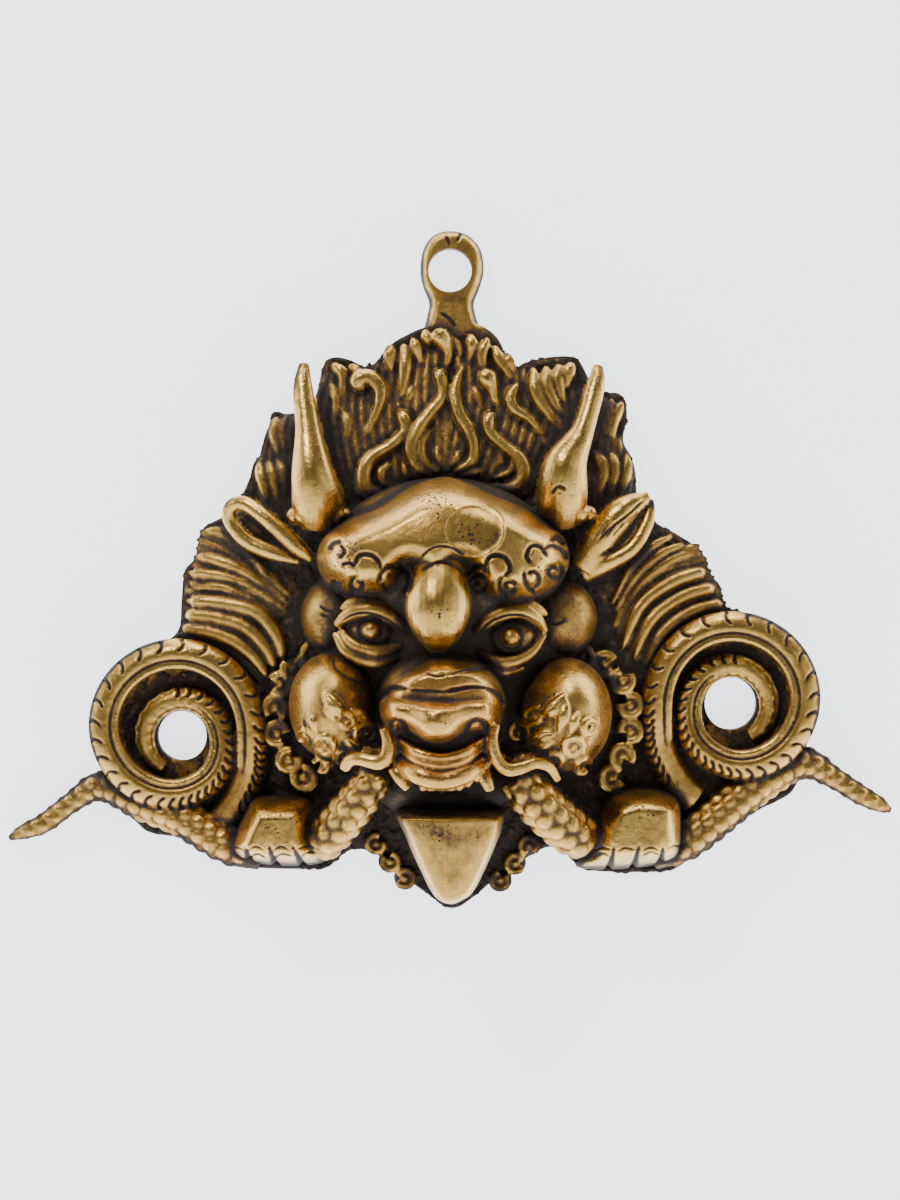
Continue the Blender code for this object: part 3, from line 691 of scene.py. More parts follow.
# The curls and waves on the brows.
brow_lines = [[(404, 560), (397, 567), (387, 568), (381, 575), (380.5, 584)],
    [(399, 566), (408, 574), (409, 585), (403, 594)], [(381.5, 584), (388, 590.5), (395, 586)],
    [(355, 565), (357, 558), (362, 554.5), (372, 555.5), (379, 563), (381, 571)],
    [(341, 565), (349, 563), (355, 567)], spiral(358, 586, 9, -90, 1.1, -1),
    [(328, 550), (333, 543), (341, 541)], [(340, 544), (343.5, 552), (338, 559)],
    [(332, 580), (335, 585), (342, 585)], spiral(478, 585, 10.5, 200, 1.15, 1),
    [(466, 576), (472, 568), (481, 567), (485, 574)], [(487, 575), (485, 566), (490, 557), (500, 555.5),
    (508, 561), (510, 571), (503, 577)], [(503, 577), (499, 584), (501, 593), (507, 597)],
    disc_of(510, 588, 5.5), disc_of(532, 580, 8, -130, 220), [(524, 571), (527, 586), (535, 593)],
    spiral(555, 572, 9, -60, 1.2, 1), [(532, 564), (527, 556), (532, 546), (541, 547), (548, 557)],
    [(543, 551), (552, 545), (563, 550), (568, 560)], [(552, 541), (557, 537), (566, 545)]]
chase(head, brow_lines, width=2.5, depth=1.15)
# The round mark on the forehead is a little sunk, with a raised edge towards its lower right.
co, normals = points_of(head.data), points_of(head.data, "normal")
aside, below = ((pixels_of(co) - (473, 530)) / (28.5, 25)).T
reach = np.hypot(aside, below)
sink = 0.5 * np.clip((1 - reach) / 0.07, 0, 1) - 0.35 * np.exp(-((reach
    - 1.07) / 0.07) ** 2) * np.clip(0.6 + aside + below, 0, 1)
co -= normals * (sink * (normals[:, 1] < -0.2) / 1000)[:, None]
moved(head, co)
bridge_arcs = [
    [(421.5, 557), (430, 549.5), (441.5, 546), (453, 548.5), (463.6, 555)],
    [(421.5, 571), (430, 565), (440.5, 562), (453, 565), (466, 574.5)]]
chase(head, bridge_arcs, width=1.5, depth=0.55)
# Pupils ringed, and the creases of the lids.
chase(head, [disc_of(371, 629.4, 12.5), disc_of(510, 638, 12)], width=1.5, depth=0.6)
lid_creases = [
    [(341, 622), (352, 615), (366, 613), (384, 618), (398, 628), (405, 634)],
    [(480, 632), (492, 621), (508, 615.5), (524, 616), (538, 624)],
    [(320, 606), (328, 611), (336, 612)],
    [(321, 614), (330, 618)],
    [(548, 620), (556, 624), (565, 620)]]
chase(head, lid_creases, width=1.3, depth=0.45)
finished(head, triangles=150000, cuts=(shallow_slab, hollow))
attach(head, "root")
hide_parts("kirtimukha_mask")

# Muzzle: snout, nose, lips and jaw in one, with rows of ridges as lips, blunt teeth and a fang at
# each corner, and the two round cheeks with carved leaves and curls. Whiskers of smooth wax curl
# out from the nostrils.
muzzle_forms = new_forms()
muzzle_strands = []
# Middle, radii, tilt and squareness of the snout, the upper lip and the jaw.
jaws = ((-2.5, -128, 20, 19, 15, 36, 0, 0.85), (-2.5, -139, 20, 17.5, 11, 31, 0, 0.85),
    (-2, -152, 12, 22, 12, 24))
for rounded in jaws:
    ball(muzzle_forms, *rounded)
snout = [(379, 716), (380, 697), (388, 680), (402, 667), (420, 658), (438, 653), (460, 656), (482, 662),
    (497, 674), (506, 691), (508, 712), (490, 735), (440, 745), (395, 735)]
puff(muzzle_forms, snout, 50, 26, lambda x, z: 55.5 - 0.016 * (x + 2.5) ** 2
    - 0.035 * np.maximum(0, z + 122) ** 2, 6)
nose = [(378, 712), (380, 701), (388, 693), (404, 690), (425, 692), (446, 693), (470, 690), (489, 691),
    (499, 700), (503, 712), (501, 724), (493, 732), (482, 732), (472, 732), (464, 739), (451, 747),
    (437, 749), (423, 746), (411, 738), (402, 732), (393, 733), (384, 727)]


def nose_swell(x, z):
    """The nose: flat-topped, with a round tip between two lesser wings."""
    tip = 6.6 * np.exp(-((x + 4) / 8) ** 2 - ((z + 133) / 8) ** 2)
    wings = 1.6 * np.exp(-((np.abs(x + 2.6) - 13.5) / 4) ** 2 - ((z + 129) / 4.5) ** 2)
    return 56.5 - 0.012 * (x + 3.5) ** 2 + tip + wings


puff(muzzle_forms, nose, 54, 38, nose_swell, 5.6, 0.6)
# The lips: pixels, thickness and the depth of the middle of each ridge.
lip_ridges = (([(397, 739), (417, 752), (441, 757.5), (465, 752), (486, 738)], 1.35, 53),
    ([(398, 746), (418, 759.5), (441, 765), (464, 759.5), (485, 745)], 1.35, 53),
    ([(399, 760), (418, 774), (441, 780), (464, 774), (486, 760)], 2.9, 52))
for points, thick, front in lip_ridges:
    trace(muzzle_strands, points, [front - 8, front - 1, front, front - 1, front - 8], thick,
        (0.8, 1, 1, 1, 0.8), 30)
for px in np.linspace(424, 476, 7):
    x, z, _ = at(px, 788 - 0.010 * (px - 441) ** 2, 49)
    ball(muzzle_forms, x, z, 48.3, 1.45, 2.0, 1.9)
# Fangs at the corners of the mouth.
fangs = [
    ([(394, 768), (400, 778), (408, 789)], [46, 47, 47], 1.9, (1, 0.95, 0.6), 8),
    ([(483, 772), (486, 781), (490, 791)], [46, 47, 47], 2.0, (1, 1, 0.75), 8)]
for row in fangs:
    trace(muzzle_strands, *row)
# The whiskers leave the nostrils, turn up at the corners of the mouth and curl over the cheeks.
whiskers = [
    ([(383, 728), (388, 742), (387, 756), (378, 762), (362, 759), (351, 760), (344, 768)],
     [50, 49, 48, 46, 43], 2.1, (0.55, 1, 1.1, 0.9, 0.8), 34),
    ([(497, 724), (493, 740), (496, 757), (506, 769), (520, 768), (536, 763), (550, 768), (558, 780)],
     [50, 49, 48, 45, 41], 1.8, (0.55, 1, 1.1, 0.9, 0.6), 36)]
for row in whiskers:
    trace(muzzle_strands, *row)
# Cheeks, and the curls that sit on their lower halves.
cheeks = ((-34.5, -129.5, 22, 13, 16, 23.5), (34, -132, 22, 13.7, 16.8, 23.5))
for cheek in cheeks:
    ball(muzzle_forms, *cheek)


def over_cheek(pixels, thick, spread, proud=0.1, count=30):
    """A strand of wax laid on whichever cheek lies under its pixels."""
    rows = []
    for (px, py), part in zip(smooth_path(pixels, count), even(spread, count)):
        middle_x, middle_z, middle_depth, rx, rz, rd = cheeks[0 if px < 441 else 1]
        depth = 40
        for _ in range(3):
            x, z, _ = at(px, py, depth)
            depth = middle_depth + rd * math.sqrt(max(0.04, 1 - ((x - middle_x) / rx) ** 2
                - ((z - middle_z) / rz) ** 2)) + proud
        rows.append((x, z, depth, thick * part))
    muzzle_strands.append(np.array(rows))


def scroll(px, py, radius, start, turns, hand):
    """A curl that winds in round a small eye."""
    over_cheek(spiral(px, py, radius, start, turns, hand, 0.55), 1.05, (0.7, 1.1, 1.05, 0.6), 0.25)
    over_cheek([(px - 1, py), (px, py), (px + 1, py)], 0.85, (1, 1), 0.1, 3)


# Each curl: its middle and radius in pixels, where it starts, its turns and which way it winds.
cheek_curls = ((346, 721, 9, -150, 0.9, 1), (366, 732, 12, 150, 0.85, 1), (325, 746, 12, 150, 1.0, 1),
    (321, 766, 9, 200, 0.8, 1), (343, 757, 9, -30, 0.8, -1), (306, 735, 8, 120, 0.8, 1),
    (535, 716, 10, -60, 0.9, -1), (519, 732, 12, 30, 0.85, -1), (573, 747, 12, 30, 1.0, -1),
    (590, 728, 9, -40, 0.8, -1), (583, 767, 9.5, -20, 0.85, -1), (556, 760, 9, 200, 0.8, 1))
for curl_row in cheek_curls:
    scroll(*curl_row)
# Leaves above the curls.
leaf = (0.35, 0.9, 1.15, 0.85, 0.3)
cheek_leaves = (([(325, 692), (331, 702), (338, 709), (346, 711)], 2.2),
    ([(328, 698), (330, 710), (335, 720)], 1.5), ([(350, 710), (359, 714), (368, 721)], 1.7),
    ([(346, 738), (354, 745), (362, 750)], 1.8), ([(308, 712), (314, 722), (316, 734)], 1.4),
    ([(565, 694), (558, 704), (550, 711), (542, 713)], 2.2),
    ([(566, 700), (564, 716), (558, 732)], 1.7), ([(532, 742), (543, 734), (555, 734)], 1.9),
    ([(536, 746), (545, 744), (553, 740)], 1.3), ([(578, 712), (574, 722), (570, 733)], 1.4))
for pixels, thick in cheek_leaves:
    over_cheek(pixels, thick, leaf, 0.1, 16)
add_strands(muzzle_forms, muzzle_strands)
muzzle = fused("muzzle", muzzle_forms, HEAD_GRAIN, 2)
snout_creases = [
    [(425, 673), (436, 676), (446, 675)],
    [(447, 675), (462, 671), (478, 668), (490, 669), (497, 674)]]
chase(muzzle, snout_creases, width=1.7, depth=0.7)
nose_fold = [
    [(382, 700), (387, 690), (396, 687), (408, 689)],
    [(444, 692), (458, 689.5), (474, 687), (490, 689), (501, 697), (506, 708)]]
chase(muzzle, nose_fold, width=2.4, depth=1.1)
middle_crease = [
    [(410, 690), (426, 691), (444, 692)]]
chase(muzzle, middle_crease, width=1.6, depth=0.35)
nostrils = [
    [(389, 729), (391, 723), (397, 720), (403, 724), (407, 731)],
    [(466, 731), (470, 724), (477, 720), (484, 724), (487, 730)]]
chase(muzzle, nostrils, width=2.2, depth=1.0)
leaf_veins = [
    [(327, 694), (336, 703), (346, 709)],
    [(563, 698), (556, 706), (546, 712)],
    [(349, 741), (355, 746), (360, 749)],
    [(536, 741), (545, 736), (553, 735)]]
chase(muzzle, leaf_veins, width=1.3, depth=0.4)
cheek_creases = [
    [(303, 718), (306, 730), (311, 742), (315, 762)],
    [(334, 658), (335, 668), (349, 679), (366, 683)]]
chase(muzzle, cheek_creases, width=1.6, depth=0.35)
finished(muzzle, triangles=160000, cuts=(shallow_slab, hollow, mouth))
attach(muzzle, "root")
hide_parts("kirtimukha_mask")

# Serpents: each lies coiled about a bored hole, its back scaled along the outer edge and its belly
# drawn as a smooth lip with a line beside it; under the coil its body runs to the paw and out to
# the tail.
COIL_GRAIN = 0.4
repeat_tree, repeat_in, repeat_out = group("forms_on_points",
    [("Form", "NodeSocketObject", None), ("Size", "NodeSocketFloat", 1.0),
    ("Material", "NodeSocketMaterial", None)])
form_info = repeat_tree.nodes.new("GeometryNodeObjectInfo")
place = repeat_tree.nodes.new("GeometryNodeInstanceOnPoints")
turn = repeat_tree.nodes.new("FunctionNodeAxesToRotation")
turn.primary_axis = "Y"
turn.secondary_axis = "X"
as_points = repeat_tree.nodes.new("GeometryNodeMeshToPoints")
swell_by = repeat_tree.nodes.new("ShaderNodeMath")
swell_by.operation = "MULTIPLY"
facing, along_path, reach = [repeat_tree.nodes.new("GeometryNodeInputNamedAttribute") for _ in range(3)]
for node, kind, label in ((facing, "FLOAT_VECTOR", "inward"), (along_path, "FLOAT_VECTOR", "along"),
        (reach, "FLOAT", "size")):
    node.data_type = kind
    node.inputs["Name"].default_value = label
spread_out = repeat_tree.nodes.new("GeometryNodeRealizeInstances")
finish = repeat_tree.nodes.new("GeometryNodeSetMaterial")
wire(repeat_tree, (repeat_in, "Geometry", as_points, "Mesh"), (as_points, "Points", place, "Points"),
    (repeat_in, "Form", form_info, "Object"), (form_info, "Geometry", place, "Instance"),
    (facing, "Attribute", turn, "Primary Axis"), (along_path, "Attribute", turn, "Secondary Axis"),
    (turn, "Rotation", place, "Rotation"), (reach, "Attribute", swell_by, 0),
    (repeat_in, "Size", swell_by, 1), (swell_by, "Value", place, "Scale"),
    (place, "Instances", spread_out, "Geometry"), (spread_out, "Geometry", finish, "Geometry"),
    (repeat_in, "Material", finish, "Material"), (finish, "Geometry", repeat_out, "Geometry"))


def repeat(forms, pattern, spots, size=1.0):
    """Sets a pattern on spots, each a place, the way the path runs, the way out of the metal and a
    size."""
    mesh = bpy.data.meshes.new("spots")
    mesh.from_pydata([(place[0], -place[2], place[1]) for place, _, _, _ in spots], [], [])
    for label, kind, rows in (("along", "FLOAT_VECTOR", [along for _, along, _, _ in spots]),
            ("inward", "FLOAT_VECTOR", [[-part for part in out] for _, _, out, _ in spots])):
        layer = mesh.attributes.new(label, kind, "POINT")
        layer.data.foreach_set("vector", np.array(rows, float).ravel())
    mesh.attributes.new("size", "FLOAT", "POINT").data.foreach_set("value",
        [size for _, _, _, size in spots])
    grown = grow(repeat_tree, mesh, {"Form": pattern, "Size": size, "Material": brass})
    add_form(forms, points_of(grown), [list(polygon.vertices) for polygon in grown.polygons])
    bpy.data.meshes.remove(grown)


def pattern_of(name, build):
    """A small form that is repeated, standing on the origin and facing the viewer."""
    forms = new_forms()
    build(forms)
    mesh = bpy.data.meshes.new(name)
    mesh.from_pydata(forms["points"], [], forms["faces"])
    return placed(name, mesh)


def small_globe(forms, x, z, depth, rx, rz, rd, sides=10):
    """A coarse ellipsoid, for what is repeated many times."""
    mesh = bmesh.new()
    bmesh.ops.create_uvsphere(mesh, u_segments=sides, v_segments=6, radius=1)
    mesh.transform(Matrix.Translation((x, -depth, z)) @ Matrix.Diagonal((rx, rd, rz, 1)))
    add_bmesh(forms, mesh)


# One scale of the serpents, the necks and the tails.
scale_form = pattern_of("scale", lambda forms: small_globe(forms, 0, 0, 0, 1.15, 1.0, 0.75))


def scale_rows(path, rows, spacing, size, lean=0.75, spin=(-62, 62)):
    """Spots for staggered rows of scales over the front of a tube given as x, z, depth and radius."""
    path = np.array(path)
    place = np.column_stack([path[:, 0], -path[:, 2], path[:, 1]])
    length = np.concatenate([[0], np.cumsum(np.linalg.norm(np.diff(place, axis=0), axis=1))])
    spots = []
    for row, angle in enumerate(np.radians(np.linspace(*spin, rows))):
        for run in np.arange(spacing * (0.3 if row % 2 else 0.8), length[-1] - 0.3 * spacing, spacing):
            center = np.array([np.interp(run, length, place[:, axis]) for axis in range(3)])
            ahead = np.array([np.interp(run + 0.5, length, place[:, axis]) for axis in range(3)])
            behind = np.array([np.interp(run - 0.5, length, place[:, axis]) for axis in range(3)])
            radius = np.interp(run, length, path[:, 3])
            along = (ahead - behind) / np.linalg.norm(ahead - behind)
            across = np.cross(along, (0, -1, 0))
            across /= np.linalg.norm(across)
            front = np.cross(across, along)
            front = front if front[1] < 0 else -front
            out = across * math.sin(angle) + front * math.cos(angle)
            spot = center + out * radius * lean
            spots.append(((spot[0], spot[2], -spot[1]), along, out, size * radius))
    return spots


def coil_law(hole_bore):
    """The coil as angle, radius, depth and thickness, from where it leaves the body to its end over
    the hole."""
    inner = hole_bore / 2 + 3.6
    return [(-70, 31, 7, 5), (-35, 25.5, 10, 4.8), (0, 22, 12.5, 4.7), (90, 22, 12.8, 4.6),
        (180, 21.8, 12.6, 4.7), (250, 19.5, 12.2, 4.6), (300, 16.5, 11.5, 4.4),
        (360, inner + 1.5, 9.8, 4), (450, inner, 8, 3.5), (540, inner, 7, 3), (600, inner, 6.6, 2.4)]


def serpent(name, x, z, hole, side, tail_rows):
    """A coiled serpent with its lower body and tail, side 1 running as at the viewer's left."""
    forms = new_forms()
    strands = []
    drum(forms, x, z, -2, RIM, 23, 96)
    hole_x, hole_z, bore = hole
    law = coil_law(bore)

    def on_coil(degrees, reach, y, swing=0):
        """A point at an angle round the middle of the coil, which moves over to the middle of the hole."""
        share = min(1, max(0, (degrees - 200) / 160))
        cx, cz = x + (hole_x - x) * share, z + (hole_z - z) * share
        angle = math.radians(degrees + swing)
        return cx + side * reach * math.cos(angle), y, cz + reach * math.sin(angle)

    def bent(rows, inwards=0.0, lift=0.0, thick=None):
        """Rows of the coil law as x, z, depth and thickness, shifted by shares of the girth."""
        made = []
        for degrees, radius, depth, girth in rows:
            px, y, pz = on_coil(degrees, radius - inwards * girth, depth + lift * girth)
            made.append((px, pz, y, thick or girth))
        return np.array(made)

    body = smooth_path(law, 200)
    strands.append(bent(body))
    strands.append(bent(body[22:150], 0.72, 0.62, 1.15))
    strands.append(np.array(smooth_path(tail_rows, 60)))
    add_strands(forms, strands)
    spots = scale_rows(smooth_path(tail_rows, 60)[4:], 4, 4.2, 0.4, 0.84, (-70, 70))
    inner = bent(smooth_path(law, 200)[128:196])
    spots += scale_rows(inner, 2, 3.4, 0.42, 0.8, (-35, 60))
    repeat(forms, scale_form, spots)
    skin = fused(name, forms, COIL_GRAIN, 2)
    # Notches of the scales on the outer half of the coil, and the line beside its lip.
    notches = []
    for degrees, radius, depth, girth in smooth_path(law, 62)[3:50]:
        notch = [on_coil(degrees, radius + out * girth, -depth
            - girth * math.sqrt(max(0, 1 - out * out)) * 0.9, swing * 1.3) for out,
            swing in ((0.15, 3.2), (0.45, 0.6), (0.75, 0.0), (1.02, 1.6))]
        notches.append(pixels_of(np.array(notch) / 1000).tolist())
    line = [on_coil(degrees, radius - 0.42 * girth, -depth - girth * 0.9)
        for degrees, radius, depth, girth in smooth_path(law, 120)[12:92]]
    chase(skin, notches, width=1.7, depth=0.7)
    chase(skin, [pixels_of(np.array(line) / 1000).tolist()], width=1.5, depth=0.55)
    return skin


left_serpent = serpent("left_serpent", -80.8, -136.5, LEFT_HOLE, 1,
    [(-56, -174, 9, 5), (-66, -171.5, 10, 5.4), (-80, -163, 9, 5.6), (-92, -158.5, 7, 5.4),
    (-104, -154, 5, 4.4), (-112.8, -158.8, 4, 3.2), (-121, -165, 3.6, 3), (-127.5, -167.8, 3, 2.3),
    (-132, -169.8, 2.4, 0.8)])
right_serpent = serpent("right_serpent", 83.5, -128.4, RIGHT_HOLE, -1,
    [(60, -174, 9, 5), (70, -170.5, 10, 5.4), (81, -162, 9, 5.6), (93, -152.5, 7, 5.6),
    (105, -147, 5, 4.8), (114.6, -151.6, 4, 3.3), (122.5, -156.6, 3.6, 3), (128.5, -159.7, 3, 2.3),
    (132, -161.6, 2.4, 0.8)])
finished(left_serpent, triangles=100000, cuts=(shallow_slab, hollow, bores["left"]))
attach(left_serpent, "root")
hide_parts("kirtimukha_mask")
finished(right_serpent, triangles=100000, cuts=(shallow_slab, hollow, bores["right"]))
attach(right_serpent, "root")
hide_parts("kirtimukha_mask")

# Paws, necks and tongue: a paw at each side with four fingers, the scaled neck that runs up from it
# to the corner of the mouth, and the tongue that hangs out, filed flat with a bevel. Curls like
# beads fill what is left.
LOWER_GRAIN = 0.42
lower_forms = new_forms()
lower_strands = []
left_paw = [(252, 799), (280, 797), (309, 800), (314, 820), (318, 842), (328, 856), (322, 867),
    (300, 871), (266, 870), (241, 865), (229, 852), (233, 832), (242, 813)]
right_paw = [(614, 795), (640, 789), (668, 793), (683, 804), (686, 830), (685, 850), (677, 864),
    (654, 871), (632, 874), (600, 875), (579, 872), (579, 864), (590, 850), (593, 832), (601, 812)]
for paw in (left_paw, right_paw):
    puff(lower_forms, paw, 26, 2, lambda x, z: 29.5 - 0.9 * np.maximum(0, -172 - z) ** 1.2
        + 0.05 * np.minimum(0, z + 160), 6.5, 0.7)
neck_left = [(378, 772), (368, 788), (352, 808), (334, 830), (318, 846)]
neck_right = [(514, 778), (528, 793), (546, 811), (566, 828), (584, 842)]
for pixels, thick in ((neck_left, 5.4), (neck_right, 6)):
    path = []
    trace(path, pixels, [33, 31, 28, 24, 20], thick, (0.8, 1, 1.05, 1), 30)
    lower_strands.append(path[0])
    repeat(lower_forms, scale_form, scale_rows(path[0], 4, 4.9, 0.44, 0.84, (-75, 75)))
tongue = [(395, 813), (446, 810), (499, 812), (506, 827), (494, 860), (477, 895), (465, 906),
    (450, 911), (433, 903), (418, 875), (404, 843)]
puff(lower_forms, tongue, 46, 3, lambda x, z: 48.6 + 0.17 * np.minimum(0, z + 160.5)
    - 0.018 * (x + 1.5) ** 2, 3, 0.6)
bead_curl = [(2.3 * math.cos(a), 2.3 * math.sin(a), 0.4, 1.0) for a in np.linspace(-0.9, 4.4, 11)]


def build_bead(forms):
    """A curl that winds round a small knob."""
    add_strands(forms, [np.array(bead_curl)])
    small_globe(forms, 0, 0, 0.2, 1.2, 1.2, 1.3)


bead_form = pattern_of("bead", build_bead)
bead_spots = []
# Rows of curls like beads, each with its side and its pixels.
bead_rows = ((-1, [(314, 654), (294, 669), (281, 684), (276, 707), (277, 733), (289, 760), (304, 778)]),
    (1, [(581, 657), (604, 664), (622, 681), (630, 705), (630, 731), (622, 756), (612, 778)]),
    (1, [(529, 845), (515, 863), (500, 880)]), (-1, [(376, 843), (390, 861), (405, 878)]))
for side, pixels in bead_rows:
    for step, (px, py) in enumerate(pixels):
        x, z, _ = at(px, py, 12)
        depth = RIM + float(rise(x, z)) + (3.2 if py < 800 else 1)
        x, z, _ = at(px, py, depth)
        angle = 1.3 * step + (0 if side > 0 else 2)
        bead_spots.append(((x, z, depth), (math.cos(angle), 0, math.sin(angle)), (0, -1, 0),
            1.35 if py < 800 else 1.1))
        ball(lower_forms, x, z, depth - 3, 3.4, 3.4, 3.4)
repeat(lower_forms, bead_form, bead_spots)
add_strands(lower_forms, lower_strands)
lower = fused("paws_and_tongue", lower_forms, LOWER_GRAIN, 2)
finger_grooves = [
    [(244, 847), (248, 858), (256, 868)],
    [(269, 846), (272, 858), (280, 870)],
    [(292, 846), (298, 858), (307, 870)],
    [(614, 847), (612, 860), (606, 874)],
    [(639, 847), (636, 860), (630, 874)],
    [(664, 847), (662, 858), (657, 869)]]
chase(lower, finger_grooves, width=2.4, depth=1.3, turned=0.5)
nail_lines = [
    [(230, 850), (236, 847), (245, 851)],
    [(246, 852), (256, 846.5), (267, 853)],
    [(271, 852), (281, 846.5), (291, 852)],
    [(297, 849), (306, 846), (314, 848)],
    [(249, 859), (257, 854), (266, 858)],
    [(273, 859), (282, 854), (292, 856)],
    [(301, 856), (308, 852.5), (315, 853)],
    [(594, 850), (602, 847), (611, 850)],
    [(617, 852), (625, 848), (636, 850)],
    [(642, 851), (651, 847.5), (660, 851)],
    [(667, 849), (674, 846), (681, 846)],
    [(594, 857), (602, 853), (610, 857)],
    [(642, 856), (651, 852), (659, 855)]]
chase(lower, nail_lines, width=1.2, depth=0.4, turned=0.3)
finished(lower, triangles=150000, cuts=(shallow_slab, hollow, mouth))
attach(lower, "root")
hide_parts("kirtimukha_mask")

# Horns and ears: the horns stand up from collars of hair, round, smooth and a little worn at the
# tips; the left ear is a loop and the right one a furled leaf, each bent out of the plane of the
# mane.
HORN_GRAIN = 0.4
horn_forms = new_forms()
horn_strands = []
horn_paths = [
    ([(317, 515), (317, 497), (312, 470), (308, 430), (303, 388), (304, 364)],
     [20, 25, 27.5, 26, 23, 21], 7.6, (0.95, 1, 0.8, 0.5, 0.38, 0.2), 40),
    ([(561, 513), (562, 495), (566, 464), (583, 430), (595, 388), (598, 366)],
     [20, 25, 27.5, 26, 23, 21], 7.6, (0.95, 1, 0.85, 0.44, 0.37, 0.2), 40)]
for row in horn_paths:
    trace(horn_strands, *row)
# Small knobs of hair round the foot of each horn.
horn_feet = ((320, 520), (563, 518))
for px, py in horn_feet:
    x0, z0, _ = at(px, py, 20)
    for angle in np.linspace(-65, 65, 6):
        ball(horn_forms, x0 + 8.4 * math.sin(math.radians(angle)), z0 + 1.2,
            19 + 7 * math.cos(math.radians(angle)), 2.2, 2.4, 3)
ear_paths = [
    ([(312, 560), (296, 546), (268, 520), (246, 504), (232, 506), (230, 520), (246, 540), (270, 552),
     (300, 562)], [22, 23, 23, 21, 19, 17.5, 18, 19, 20], 2.3,
     (0.5, 1, 1, 0.95, 0.9, 0.95, 1, 0.95, 0.4), 60),
    ([(262, 548), (252, 532), (243, 516)], [14, 14, 14], 2.6, (0.7, 1, 0.7), 14),
    ([(584, 566), (600, 540), (622, 512), (648, 496)], [19, 22, 22.5, 20], 4.4, (1.1, 1, 1, 0.35)),
    ([(584, 572), (606, 563), (632, 548), (647, 522), (650, 500)], [19, 21, 21, 20, 18], 2.6,
     (1.3, 1, 0.9, 0.8, 0.5), 30)]
for row in ear_paths:
    trace(horn_strands, *row)
add_strands(horn_forms, horn_strands)
horns = fused("horns_and_ears", horn_forms, HORN_GRAIN, 2)
ear_folds = [
    [(598, 541), (612, 527), (628, 515), (644, 500)],
    [(600, 556), (618, 546), (634, 530), (646, 507)]]
chase(horns, ear_folds, width=1.8, depth=0.7)
ear_hatching = [
    [(601, 534), (610, 522)],
    [(606, 537), (617, 524)],
    [(613, 536), (624, 522)],
    [(619, 530), (631, 516)],
    [(627, 524), (638, 511)]]
chase(horns, ear_hatching, width=1.2, depth=0.3)
horn_nick = [
    [(551, 494), (558, 487), (566, 489)]]
chase(horns, horn_nick, width=1.8, depth=0.6)
finished(horns, triangles=90000, cuts=(shallow_slab, hollow))
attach(horns, "root")
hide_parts("kirtimukha_mask")

for helper in (slab, shallow_slab, hollow, mouth, scale_form, bead_form, *bores.values()):
    bpy.data.objects.remove(helper)

# Finish: the whole casting was dipped to a dark brown and its high places were then polished by
# rubbing, so that the brass shines there and the patina stays in the grooves, in the hollows and in
# pits. Shade is painted in as darker metal as well: in the low places along with the patina, under
# the forms, on faces turned towards the wall and at a list of shaded places. The attributes tell the
# brass where all that is.
PIECES = (mane, head, muzzle, left_serpent, right_serpent, lower, horns)


def blurred(values, sigma):
    """A map spread by a bell curve, sigma in millimetres."""
    reach = np.arange(-int(3 * sigma / CELL) - 1, int(3 * sigma / CELL) + 2)
    bell = np.exp(-0.5 * (reach * CELL / sigma) ** 2)
    bell /= bell.sum()
    for axis in (0, 1):
        values = np.apply_along_axis(np.convolve, axis, values, bell, "same")
    return values


# How far each place stands above or below the metal round it, at three reaches: low places lose shine both
# for the patina of the hollows and as painted shade.
covered = (heights > NOTHING / 2).astype(float)
solid_heights = np.where(covered > 0, heights, 0)
stands = [np.where(covered > 0, heights - blurred(solid_heights,
    sigma) / np.maximum(blurred(covered, sigma), 1e-3), 0) for sigma in (0.9, 2.6, 8.0)]
smooth_heights = blurred(solid_heights, 0.6)
steep = np.hypot(*np.gradient(smooth_heights, CELL))


def sampled(values, co):
    """What a map says at points given in metres."""
    column = np.clip((co[:, 0] * 1000 - MAP_X) / CELL - 0.5, 0, values.shape[0] - 1.001)
    row = np.clip((co[:, 2] * 1000 - MAP_Z) / CELL - 0.5, 0, values.shape[1] - 1.001)
    i, j = column.astype(int), row.astype(int)
    f, g = column - i, row - j
    return ((values[i, j] * (1 - f) + values[i + 1, j] * f) * (1 - g)
        + (values[i, j + 1] * (1 - f) + values[i + 1, j + 1] * f) * g)


# Where the metal is pitted: middle and radius in pixels.
pitted_places = [(407, 562, 14), (473, 530, 26), (345, 560, 22), (545, 565, 22), (361, 692, 14),
    (536, 690, 16), (441, 715, 22), (280, 820, 26), (640, 815, 28), (441, 620, 20), (562, 490, 16),
    (440, 835, 18), (352, 545, 20), (440, 500, 24)]
